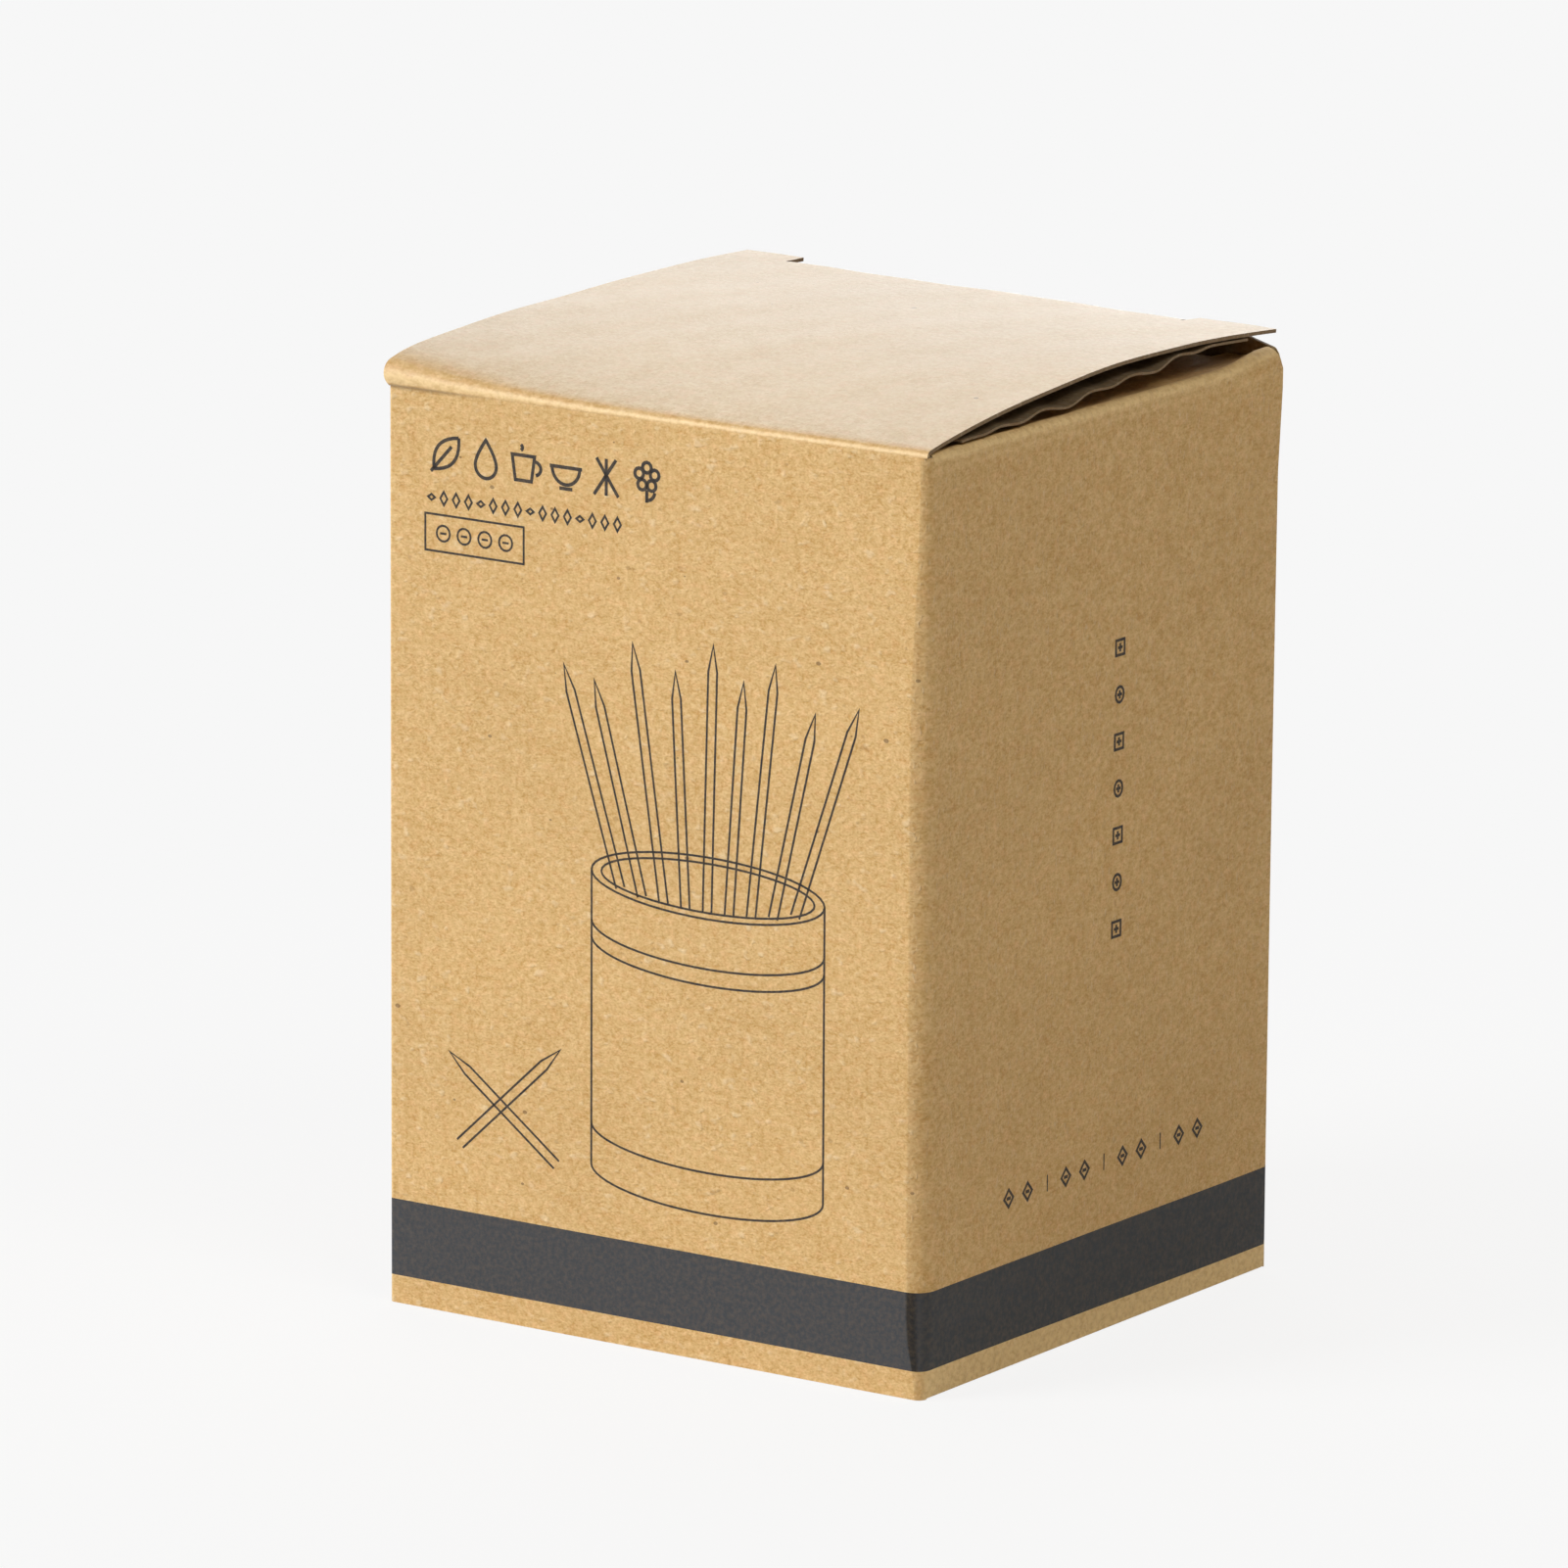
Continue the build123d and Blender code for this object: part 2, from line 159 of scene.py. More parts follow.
def startGroup(name, colourName, valueName):
    # a finish: the place on the piece, a colour and one more value go in, and what a shader needs comes out
    group = bpy.data.node_groups.new(name, "ShaderNodeTree")
    for socketName, kind in (("Place", "Vector"), (colourName, "Color"), (valueName, "Float")):
        group.interface.new_socket(socketName, in_out="INPUT", socket_type="NodeSocket" + kind)
    for socketName, kind in (("Colour", "Color"), ("Rough", "Float"), ("Height", "Float")):
        group.interface.new_socket(socketName, in_out="OUTPUT", socket_type="NodeSocket" + kind)
    return group, addNode(group, "NodeGroupInput").outputs, addNode(group, "NodeGroupOutput")


def startMaterial(name):
    material = bpy.data.materials.new(name)
    material.use_nodes = True
    tree = material.node_tree
    place = addNode(tree, "ShaderNodeTexCoord").outputs["Object"]
    return material, tree, tree.nodes["Principled BSDF"], place


def wireShader(tree, shader, colour, rough, plain):
    # colour and roughness change over the surface, plain values are the same all over it
    tree.links.new(colour, shader.inputs["Base Color"])
    tree.links.new(rough, shader.inputs["Roughness"])
    for name, value in plain.items():
        shader.inputs[name].default_value = value


def addBump(tree, shader, height, strength, distance):
    lift = addNode(tree, "ShaderNodeBump")
    feedAll(tree, lift, Strength=strength, Distance=distance, Height=height)
    tree.links.new(lift.outputs[0], shader.inputs["Normal"])


# kraft pulp: scales are per metre, so 1500 gives blobs of two thirds of a millimetre
pulp = {
    "lay": (0.72, 0.72, 1.05),  # the fibres lie round the carton, so the mottle is longer that way
    "grain": 1500.0,
    "fine": 3900.0,
    "fineShare": 0.75,
    "clouds": 330.0,
    "cloudShare": 0.30,
    "tone": (0.75, 1.29),
    "darkTint": (0.83, 0.75, 0.60, 1.0),
    "lightTint": (1.145, 1.215, 1.40, 1.0),
    "drift": 40.0,
    "driftShade": (0.97, 1.03),
    "hues": 900.0,
    "pink": (1.05, 0.97, 0.98, 1.0),
    "green": (0.98, 1.0, 0.975, 1.0),
    "hueShare": 0.5,
    "fibre": (800.0, 5200.0, 800.0),
    "fibreTurns": (0.35, 1.45, 2.5),
    "lightFrom": (0.66, 0.78),
    "darkFrom": (0.28, 0.20),
    "speckCells": 300.0,
    "speckFrom": (0.55, 1.0),  # most cells hold no speck
    "speckReach": 0.085,
    "marks": (0.30, 0.35, 0.6),  # how strongly light fibres, dark fibres and specks show
    "fibreLight": (0.90, 0.76, 0.52, 1.0),
    "fibreDark": (0.30, 0.165, 0.06, 1.0),
    "speck": (0.12, 0.07, 0.035, 1.0),
    # a lighter tint, in patches: edge wear, painted highlights and painted floor bounce
    "wearAndHighlightTint": (0.93, 0.70, 0.37, 1.0),
    "lighteningFrom": (0.35, 0.65),
    "lighteningGrip": (0.55, 1.0),
    # painted shade for creases, used where the value goes below zero
    "creaseShading": (0.27, 0.175, 0.08, 1.0),
    "rough": (0.46, 0.58),
    "relief": (0.6, 0.35, 0.25),  # heights of grain, fine grain and light fibres
}


def makePulpGroup():
    group, inside, outside = startGroup("kraftPulp", "Paper", "Scuff")
    place = turned(group, inside["Place"], (0.0, 0.0, 0.0), pulp["lay"])
    grain = noise(group, place, pulp["grain"], rough=0.55)
    fine = noise(group, place, pulp["fine"], 1.0)
    hues = noise(group, place, pulp["hues"], 1.0)
    tone = mathNode(group, "MULTIPLY_ADD", fine, pulp["fineShare"], grain)
    tone = mathNode(group, "MULTIPLY_ADD", noise(group, place, pulp["clouds"]), pulp["cloudShare"], tone)
    tone = mixColour(group, spread(group, tone, *pulp["tone"]), pulp["darkTint"], pulp["lightTint"])
    drift = spread(group, noise(group, place, pulp["drift"], 1.0), *noiseSpan, *pulp["driftShade"])
    colour = inside["Paper"]
    for shade in (tone, drift):
        colour = mixColour(group, 1.0, colour, shade, "MULTIPLY")
    for hue, far in (("pink", 0.70), ("green", 0.30)):
        part = spread(group, hues, 0.50, far, 0.0, pulp["hueShare"])
        colour = mixColour(group, part, colour, mixColour(group, 1.0, colour, pulp[hue], "MULTIPLY"))
    strands = [noise(group, turned(group, place, (angle, angle * 0.7, angle * 1.3), pulp["fibre"]), 1.0, 1.0)
               for angle in pulp["fibreTurns"]]
    lightFibre = spread(group, mathNode(group, "MAXIMUM", *strands[:2]), *pulp["lightFrom"])
    darkFibre = spread(group, strands[2], *pulp["darkFrom"])
    cells = addNode(group, "ShaderNodeTexVoronoi")
    feedAll(group, cells, Vector=place, Scale=pulp["speckCells"])
    sizes = addNode(group, "ShaderNodeSeparateColor")
    feedAll(group, sizes, Color=cells.outputs["Color"])
    reach = spread(group, sizes.outputs[0], *pulp["speckFrom"], 0.0, pulp["speckReach"])
    specks = mathNode(group, "LESS_THAN", cells.outputs["Distance"], reach)
    dyes = ("fibreLight", "fibreDark", "speck")
    for mark, share, dye in zip((lightFibre, darkFibre, specks), pulp["marks"], dyes):
        colour = mixColour(group, mathNode(group, "MULTIPLY", mark, share), colour, pulp[dye])
    # above zero the value lightens in patches (wear, painted highlights, painted floor bounce); below zero
    # it darkens as painted crease shade
    patchy = spread(group, grain, *pulp["lighteningFrom"], *pulp["lighteningGrip"])
    lightened = mathNode(group, "MULTIPLY", inside["Scuff"], patchy, clamp=True)
    creaseShading = mathNode(group, "MULTIPLY", inside["Scuff"], -1.0, clamp=True)  # painted crease shade, where the value is below zero
    colour = mixColour(group, lightened, colour, pulp["wearAndHighlightTint"])
    colour = mixColour(group, creaseShading, colour, pulp["creaseShading"])
    grainHeight, fineHeight, fibreHeight = pulp["relief"]
    height = mathNode(group, "MULTIPLY", grain, grainHeight)
    height = mathNode(group, "MULTIPLY_ADD", fine, fineHeight, height)
    height = mathNode(group, "MULTIPLY_ADD", lightFibre, fibreHeight, height)
    rough = spread(group, grain, *noiseSpan, *pulp["rough"])
    feedAll(group, outside, Colour=colour, Rough=rough, Height=height)
    return group


pulpGroup = makePulpGroup()

kraft = {
    "paper": (0.658, 0.434, 0.188),
    # the inside: a greyer liner, and darker also as painted shade for the carton's shaded inside
    "inside": (0.40, 0.28, 0.15),
    # the inner ply is this dark as painted shade: it lies in the lid's shadow
    "ply": (0.19, 0.145, 0.093),
    "paintedSheen": (0.725, 0.555, 0.34),  # painted sheen: the lid's top paler, in place of its grazing reflection
    "edge": (0.22, 0.15, 0.083),
    "bandInk": (0.053, 0.059, 0.069),
    "lineInk": (0.036, 0.036, 0.039),
    "pressedInk": (0.018, 0.018, 0.019),  # painted shade on the ink in the near crease
    "press": -4.0,  # how fast the ink turns to its painted shade as the value goes below zero
    "inkGrip": 1700.0,
    "gripFrom": (0.30, 0.62),
    "inkPatches": 900.0,
    "inkRough": (0.55, 0.66),
    "sheenRough": 0.3,
    "relief": 0.0001,
}


def paperMaterial(name, paper, bump, sheen=0.0, gloss=0.1, ink=None, cover=(0.935, 0.995), paintedSheen=None):
    material, tree, shader, place = startMaterial(name)
    paintedLightAndWear = addNode(tree, "ShaderNodeAttribute", attribute_name="paintedLightAndWear").outputs["Fac"]
    fibre = addNode(tree, "ShaderNodeGroup", node_tree=pulpGroup)
    feedAll(tree, fibre, Place=place, Paper=(*paper, 1.0), Scuff=paintedLightAndWear)
    # painted sheen: the paper is mixed towards a paler colour where the layer says
    if paintedSheen:
        paintedSheenShare = addNode(tree, "ShaderNodeAttribute", attribute_name="paintedSheen").outputs["Fac"]
        feedAll(tree, fibre, Paper=mixColour(tree, paintedSheenShare, (*paper, 1.0), (*paintedSheen, 1.0)))
    colour, rough = fibre.outputs["Colour"], fibre.outputs["Rough"]
    if ink:
        # in the near crease the ink turns darker: painted shade
        grip = spread(tree, noise(tree, place, kraft["inkGrip"], 3.0, 0.6), *kraft["gripFrom"], *cover)
        pressed = mathNode(tree, "MULTIPLY", paintedLightAndWear, kraft["press"], clamp=True)
        deep = mixColour(tree, pressed, (*ink, 1.0), (*kraft["pressedInk"], 1.0))
        colour = mixColour(tree, grip, colour, deep)
        rough = spread(tree, noise(tree, place, kraft["inkPatches"]), *noiseSpan, *kraft["inkRough"])
    wireShader(tree, shader, colour, rough, {"Sheen Weight": sheen, "Sheen Roughness": kraft["sheenRough"],
                                             "Specular IOR Level": gloss})
    addBump(tree, shader, fibre.outputs["Height"], bump, kraft["relief"])
    return material


kraftOuter = paperMaterial("kraftOuter", kraft["paper"], 2.6, sheen=0.08)
# the lid's paper: its top is made paler by the painted sheen
kraftLid = paperMaterial("kraftLid", kraft["paper"], 0.6, sheen=0.6, gloss=0.5, paintedSheen=kraft["paintedSheen"])
kraftInner = paperMaterial("kraftInner", kraft["inside"], 0.5)
plyPaintedShade = paperMaterial("plyPaintedShade", kraft["ply"], 0.5)
kraftEdge = paperMaterial("kraftEdge", kraft["edge"], 0.6)
bandInk = paperMaterial("bandInk", kraft["paper"], 0.5, ink=kraft["bandInk"])
printInk = paperMaterial("printInk", kraft["paper"], 0.2, ink=kraft["lineInk"], cover=(0.90, 0.99))
print("paper finishes made")


# moulded plastic and rubber
moulded = {
    "grain": 2600.0,
    "flow": 55.0,
    "shade": (0.965, 1.035),
    "sheenSpots": 480.0,
    "polish": (-0.05, 0.05),
    "relief": 0.00005,
}


def makeMouldedGroup():
    group, inside, outside = startGroup("mouldedSkin", "Base", "Polish")
    place = inside["Place"]
    grain = noise(group, place, moulded["grain"], rough=0.6)
    flow = noise(group, place, moulded["flow"])
    shades = [spread(group, value, *noiseSpan, *moulded["shade"]) for value in (grain, flow)]
    colour = mixColour(group, 1.0, inside["Base"], mathNode(group, "MULTIPLY", *shades), "MULTIPLY")
    spots = spread(group, noise(group, place, moulded["sheenSpots"]), *noiseSpan, *moulded["polish"])
    rough = mathNode(group, "ADD", inside["Polish"], spots, clamp=True)
    feedAll(group, outside, Colour=colour, Rough=rough, Height=grain)
    return group


mouldedGroup = makeMouldedGroup()


def mouldedMaterial(name, base, polish, bump, specular=0.5):
    material, tree, shader, place = startMaterial(name)
    skin = addNode(tree, "ShaderNodeGroup", node_tree=mouldedGroup)
    feedAll(tree, skin, Place=place, Base=(*base, 1.0), Polish=polish)
    wireShader(tree, shader, skin.outputs["Colour"], skin.outputs["Rough"], {"Specular IOR Level": specular})
    addBump(tree, shader, skin.outputs["Height"], bump, moulded["relief"])
    return material


drawnSteel = {"dull": (0.60, 0.60, 0.60, 1.0), "bright": (0.70, 0.70, 0.69, 1.0), "rough": (0.26, 0.34)}


def steelMaterial(name, lay):
    # drawn wire and rod: fine lines run along the pull
    material, tree, shader, place = startMaterial(name)
    lines = noise(tree, turned(tree, place, (0, 0, 0), lay), 1.0, 3.0, 0.6)
    colour = mixColour(tree, spread(tree, lines, *noiseSpan), drawnSteel["dull"], drawnSteel["bright"])
    rough = spread(tree, lines, *noiseSpan, *drawnSteel["rough"])
    wireShader(tree, shader, colour, rough, {"Metallic": 1.0})
    return material


holderFinish = {
    "cup": mouldedMaterial("cupPlastic", (0.80, 0.775, 0.72), 0.46, 0.30),
    "insert": mouldedMaterial("insertPlastic", (0.84, 0.825, 0.79), 0.34, 0.12),
    "lid": mouldedMaterial("lidPlastic", (0.066, 0.067, 0.070), 0.50, 0.30),
    "pads": mouldedMaterial("padRubber", (0.035, 0.035, 0.037), 0.80, 0.5, 0.3),
    "rod": steelMaterial("rodSteel", (2600.0, 2600.0, 40.0)),
    "wire": steelMaterial("wireSteel", (900.0, 900.0, 900.0)),
}
holderNodes = {
    "cup": ("cup_shell", "plinth_base", "base_plate"),
    "insert": ("divider_insert", "lid_inner_plate", "guide_bush"),
    "lid": ("lid_cap",),
    "pads": ("foot_pads",),
    "rod": ("lift_rod", "cam_pin"),
    "wire": ("lift_spring", "base_screws"),
}
for finish, nodes in holderNodes.items():
    for node in nodes:
        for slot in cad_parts[node].material_slots:
            slot.material = holderFinish[finish]
print("holder finishes made")


# sheets of board: a grid whose corners are put where a formula says, then given the board's thickness

def rowsOf(kind, count, first=1):
    return [(kind, k / count) for k in range(first, count + 1)]


def slitColumns(edges, counts):
    # columns from edge to edge, with one on each slit
    columns = [edges[0]]
    for low, high, count in zip(edges, edges[1:], counts):
        columns += stops(low, high, count)[1:]
    return columns


def addGrid(wide, long, putAt):
    deselectAll()
    bpy.ops.mesh.primitive_grid_add(x_subdivisions=wide - 1, y_subdivisions=long - 1, size=2)
    grid = bpy.context.object
    for vertex in grid.data.vertices:
        row, column = divmod(vertex.index, wide)
        vertex.co = Vector(putAt(column, row)) * mm
    return grid


def weldAll():
    bpy.ops.mesh.select_all(action="SELECT")
    bpy.ops.mesh.remove_doubles(threshold=0.000001)


def thicken(sheet, thickness, **more):
    board = sheet.modifiers.new("board", "SOLIDIFY")
    for name, value in {"thickness": thickness * mm, "offset": -1.0, **more}.items():
        setattr(board, name, value)
    bpy.ops.object.modifier_apply(modifier="board")


def addSheet(name, columnStops, rowStops, putAt, skip=None, ink=None, thickness=None, flip=False, paintedLightAndWear=None,
             face=None, plain=None, paintedSheen=None):
    wide = len(columnStops)
    sheet = addGrid(wide, len(rowStops), lambda column, row: putAt(columnStops[column], rowStops[row]))
    sheet.name = name
    sheet.data.name = name
    # point layers: wear together with painted highlights and shade, and the lid's painted sheen
    for layer, toneAt in (("paintedLightAndWear", paintedLightAndWear), ("paintedSheen", paintedSheen)):
        if toneAt:
            toned = sheet.data.attributes.new(layer, "FLOAT", "POINT")
            for k, spot in enumerate(toned.data):
                row, column = divmod(k, wide)
                spot.value = toneAt(columnStops[column], rowStops[row])
    layers = (face or kraftOuter, bandInk, kraftInner, kraftInner, kraftEdge, kraftEdge)
    for finish in (plain,) if plain else layers:
        sheet.data.materials.append(finish)
    bpy.ops.object.mode_set(mode="EDIT")
    bpy.ops.mesh.select_all(action="DESELECT")
    bpy.ops.object.mode_set(mode="OBJECT")
    gone = 0
    for tile in sheet.data.polygons:
        row, column = divmod(tile.index, wide - 1)
        if skip and skip(column, row):
            tile.select = True
            gone += 1
        if ink and ink(column, row):
            tile.material_index = 1
    bpy.ops.object.mode_set(mode="EDIT")
    bpy.context.tool_settings.mesh_select_mode = (False, False, True)
    if gone:
        bpy.ops.mesh.delete(type="FACE")
    weldAll()
    if flip:
        bpy.ops.mesh.flip_normals()
    bpy.ops.object.mode_set(mode="OBJECT")
    thicken(sheet, thickness or carton["board"], use_even_offset=True,
            material_offset=0 if plain else 2, material_offset_rim=0 if plain else 4)
    bpy.ops.object.shade_smooth_by_angle(angle=radians(40))
    return sheet


sleeve = {
    "bow": 0.10, "swell": 0.6, "wave": 0.5, "waves": 2.3, "waveLean": 0.05,  # of every panel
    "flare": 0.6, "flareRise": 1.5,  # the right panel stands out a little towards its top back corner
    "crestBack": 20.0, "crestRight": 28.0,  # that corner swells near its top, then turns in
    "crestOut": 0.45, "crestRise": (97.0, 109.0),
    "crestIn": 1.0, "crestTurn": 110.2, "crestSpan": 2.4,
    "nearRise": (78.0, 108.0),  # where the near crease tightens under the lid
    "nearHeel": 9.0,  # and below this height
    "nearFollow": 12.0,  # how far into its panel the board follows that crease
    "frontFoot": 0.06,
    "sideFoot": 0.27,
    "sideFold": 0.42,  # where the fold under a side panel starts, inside the panel's foot
    "sideBead": 0.10,  # lowest point of the folds under the two side panels
    "backBead": 0.3,
    "backFoot": 0.95,
    "heel": 1.9,
    "sideTop": 110.9,
    "sideRise": 0.9,  # the side panels' top folds climb to the back corners
    "sideClimb": (24.0, 35.0),
    "highlightLine": 109.9,  # a second faint line below the fold, a painted highlight
    "brow": 0.45,
    "backTop": 113.4, "backRise": 0.8, "shoulder": (20.0, 28.0),
    "backCorner": 112.8, "backTurn": (33.6, 37.2), "cornerDip": 0.35,
    "lapPlay": 0.1, "lapRound": 0.6, "lapCorner": 111.0,  # the glued lap inside the left panel
    "lapEnd": 24.5, "lapFoot": 6.5, "lapTop": 105.5, "lapTaper": 5.0,
}
# the pinch under the lid's roll: painted shade at its left, a little lighter to the right
pinch = {"left": 111.2, "right": 111.6, "creaseShading": -0.85, "lightened": 0.15, "fade": (-34.0, -19.0)}
# these rows are lightened: painted floor bounce at the feet and the band's lower edge, painted highlights
# along the side panels' top folds, wear on the corners
highlightsAndWear = {"foot": 1.0, "heel": 0.95, "band": 0.85, "highlightLine": 0.3, "top": 0.45, "corner": 0.3}
# the near crease: painted shade at its start, a little lighter over its middle, and the feet's painted
# bounce fading in across it
nearCreaseShading = {"pressed": -0.24, "lightened": 0.05, "pressFade": (0.05, 0.3), "footFade": (0.05, 0.9)}


def pinchHeight(x):
    return mix(pinch["left"], pinch["right"], widthShare(x))


def pinchShade(x):
    # painted shade along the left half of the pinch, a little lighter after that
    return mix(pinch["creaseShading"], pinch["lightened"], smoothStep(*pinch["fade"], x))


def panelBow(along, z):
    # panels are never quite flat: a slow swell, nothing at the creases
    look = sleeve
    swell = look["swell"] * sin(pi * z / carton["height"])
    swell += look["wave"] * sin(look["waves"] * pi * along + look["waveLean"] * z)
    return look["bow"] * sin(pi * along) * swell


def flared(x, y, z):
    look, right, back = sleeve, carton["right"], carton["back"]
    share = smoothStep(-back, back, y) * smoothStep(0.0, right, x)
    corner = smoothStep(look["crestBack"], back, y) * smoothStep(look["crestRight"], right, x)
    crest = look["crestOut"] * smoothStep(*look["crestRise"], z)
    crest -= look["crestIn"] * max(0.0, (z - look["crestTurn"]) / look["crestSpan"]) ** 2
    return x + look["flare"] * share * (z / carton["height"]) ** look["flareRise"] + corner * crest


def nearShare(z):
    # the near crease tightens towards the lid and at the foot
    upper = mix(1.0, carton["nearTop"] / carton["nearRound"], smoothStep(*sleeve["nearRise"], z))
    return upper * mix(carton["nearFoot"] / carton["nearRound"], 1.0, smoothStep(0.0, sleeve["nearHeel"], z))


def sideTopAt(y):
    return sleeve["sideTop"] + sleeve["sideRise"] * smoothStep(*sleeve["sideClimb"], y)


def backTopAt(x):
    shoulder = sleeve["backTop"] + sleeve["backRise"] * smoothStep(*sleeve["shoulder"], abs(x))
    return mix(shoulder, sleeve["backCorner"], smoothStep(*sleeve["backTurn"], abs(x)))


def frontFace(x, z, proud=0.0):
    return (x, -carton["back"] - panelBow(widthShare(x), z) - proud, z)


def rightFace(y, z, proud=0.0):
    return (flared(carton["right"], y, z) + panelBow(depthShare(y), z) + proud, y, z)


def planLine(panel, start, end, count, foot=None):
    return [(panel, mix(start[0], end[0], k / count), mix(start[1], end[1], k / count), foot, None)
            for k in range(count + 1)]


def planTurn(centre, radius, start, count, feet, tops):
    # a quarter turn, without its two ends
    points = []
    for k in range(1, count):
        angle = radians(mix(start, start + 90, k / count))
        points.append(("corner", centre[0] + radius * cos(angle), centre[1] + radius * sin(angle),
                       mix(*feet, k / count), mix(*tops, k / count)))
    return points


def makeSleeve():
    look = sleeve
    right, back, turn, near = (carton[name] for name in ("right", "back", "cornerRound", "nearRound"))
    left = -right - carton["leftEase"]
    lapX = left + carton["board"] + look["lapPlay"]
    lapTurn = look["lapRound"]
    plan = planLine("left", (left, back - carton["seamShort"]), (left, turn - back), 20, look["sideFoot"])
    plan += planTurn((left + turn, turn - back), turn, 180, 7,
                     (look["sideBead"], look["frontFoot"]), (pinch["left"], pinch["left"]))
    plan += planLine("front", (left + turn, -back), (right - near, -back), 28, look["frontFoot"])
    plan += planTurn((right - near, near - back), near, 270, 12,
                     (look["frontFoot"], look["sideBead"]), (pinch["right"], pinch["right"]))
    plan += planLine("right", (right, near - back), (right, back - turn), 36, look["sideFoot"])
    plan += planTurn((right - turn, back - turn), turn, 0, 7, (look["sideBead"], look["backBead"]),
                     (look["backCorner"] - look["cornerDip"], look["backCorner"]))
    plan += planLine("back", (right - turn, back), (lapX + lapTurn, back), 36, look["backFoot"])
    plan += planTurn((lapX + lapTurn, back - lapTurn), lapTurn, 90, 7,
                     (look["backFoot"], look["backFoot"]), (look["backCorner"], look["lapCorner"]))
    plan += planLine("lap", (lapX, back - lapTurn), (lapX, look["lapEnd"]), 6)
    heights = ["foot", look["heel"], carton["bandLow"], 6.5, 9.7, carton["bandHigh"]]
    heights += stops(18.0, 108.0, 18) + [109.3, look["highlightLine"], 110.4, "brow", "top"]

    def putAt(point, height):
        panel, x, y, foot, top = point
        if panel == "lap":
            taper = look["lapTaper"] * (back - lapTurn - y) / (back - lapTurn - look["lapEnd"])
            share = heights.index(height) / (len(heights) - 1)
            return (x, y, mix(look["lapFoot"] + taper, look["lapTop"] - taper, share))
        tops = {"front": pinchHeight(x), "left": sideTopAt(y), "right": sideTopAt(y), "back": backTopAt(x)}
        crown = tops.get(panel, top)
        z = {"foot": foot, "brow": crown - look["brow"], "top": crown}.get(height, height)
        if panel == "right":  # the band's upper edge runs down half as far as its lower one
            slip = {carton["bandLow"]: 1.0, carton["bandHigh"]: 0.5}.get(height, 0.0)
            z -= carton["bandSlip"] * smoothStep(-back, back, y) * slip
        tight = nearShare(z)
        drawn = near * (1.0 - tight)  # the panels' columns follow the crease as it tightens
        if panel == "front":
            return frontFace(x + drawn * (1.0 - smoothStep(0.0, look["nearFollow"], right - near - x)), z)
        if panel == "right":
            return rightFace(y - drawn * (1.0 - smoothStep(0.0, look["nearFollow"], y + back - near)), z)
        if panel == "corner" and x > 0 > y:
            return (right + (x - right) * tight, (y + back) * tight - back, z)
        if panel == "left":
            return (x - panelBow(depthShare(y), z), y, z)
        if panel == "back":
            return (flared(x, y, z), y + panelBow(widthShare(x), z), z)
        return (flared(x, y, z), y, z)

    # painted shade on the pinch and the near crease, painted floor bounce at the feet, painted highlights on
    # the side folds, wear on the other corners
    def paintedToneAt(point, height):
        panel, x, y = point[:3]
        if height == "top" and y < 0 and panel in ("front", "corner"):
            return pinchShade(x)
        feet = {"foot": highlightsAndWear["foot"], look["heel"]: highlightsAndWear["heel"], carton["bandLow"]: highlightsAndWear["band"]}
        paintedFootBounce = feet.get(height, 0.0)
        if panel in ("left", "right"):
            return {look["highlightLine"]: highlightsAndWear["highlightLine"], "top": highlightsAndWear["top"]}.get(height, paintedFootBounce)
        # painted shade where the near crease starts, the feet's painted bounce coming in across it
        if panel == "corner" and x > 0 > y:
            share = (y + back) / near
            crease = mix(nearCreaseShading["pressed"], nearCreaseShading["lightened"], smoothStep(*nearCreaseShading["pressFade"], share))
            return crease + paintedFootBounce * smoothStep(*nearCreaseShading["footFade"], share)
        return highlightsAndWear["corner"] if panel == "corner" else 0.0

    bandRows = range(heights.index(carton["bandLow"]), heights.index(carton["bandHigh"]))

    def inBand(column, row):
        return row in bandRows and plan[column][0] != "lap"

    piece = addSheet("sleeve", plan, heights, putAt, ink=inBand, paintedLightAndWear=paintedToneAt)
    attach(piece, "carton_and_cup")
    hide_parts("front_wall", "right_wall", "back_wall", "left_wall", "glue_flap")


makeSleeve()
print("sleeve folded")

lid = {
    "left": -38.35, "slitLeft": -30.1, "slitRight": 27.1, "right": 37.8,
    "seam": 33.1, "tabEnd": 36.95,
    "run": 73.0,  # front crease to rear edge
    "leftRise": (3.1, 4.2, -3.25),  # height over the crease along that run: start, climb and droop
    "rightRise": (0.5, 12.3, -9.8),
    "endColumns": 8, "midColumns": 36,
    "turns": 16, "topRows": 40, "tabRows": 4,
    "rollLeft": 2.0, "rollRight": 0.8,
    "underLeft": 42.0, "underRight": 5.0,  # degrees that the roll tucks under itself
    "settle": 3.2,
    "pinchDraw": 0.1, "drawFrom": -30.0, "drawEnd": 0.3,  # the roll's left end draws in at the pinch
    "bulge": 0.32,
    "ripple": 0.06, "crinkle": 0.03, "rippleFrom": (-34.0, -26.0),
    # the lower part of the roll is lightened: a painted highlight
    "lighten": 0.6, "highlightEnd": 0.6, "pinchEnd": 0.1, "pinchFade": 8.0,
    "bare": 0.008, "bareLeft": 0.05, "bareFade": (-38.0, -14.0),  # how far the roll keeps the panels' colour
}


def plumpAt(side):
    return (1.0 - side) ** 4  # the roll dies away to the right


def riseAt(rise, t):
    return rise[0] + rise[1] * t + rise[2] * t * t


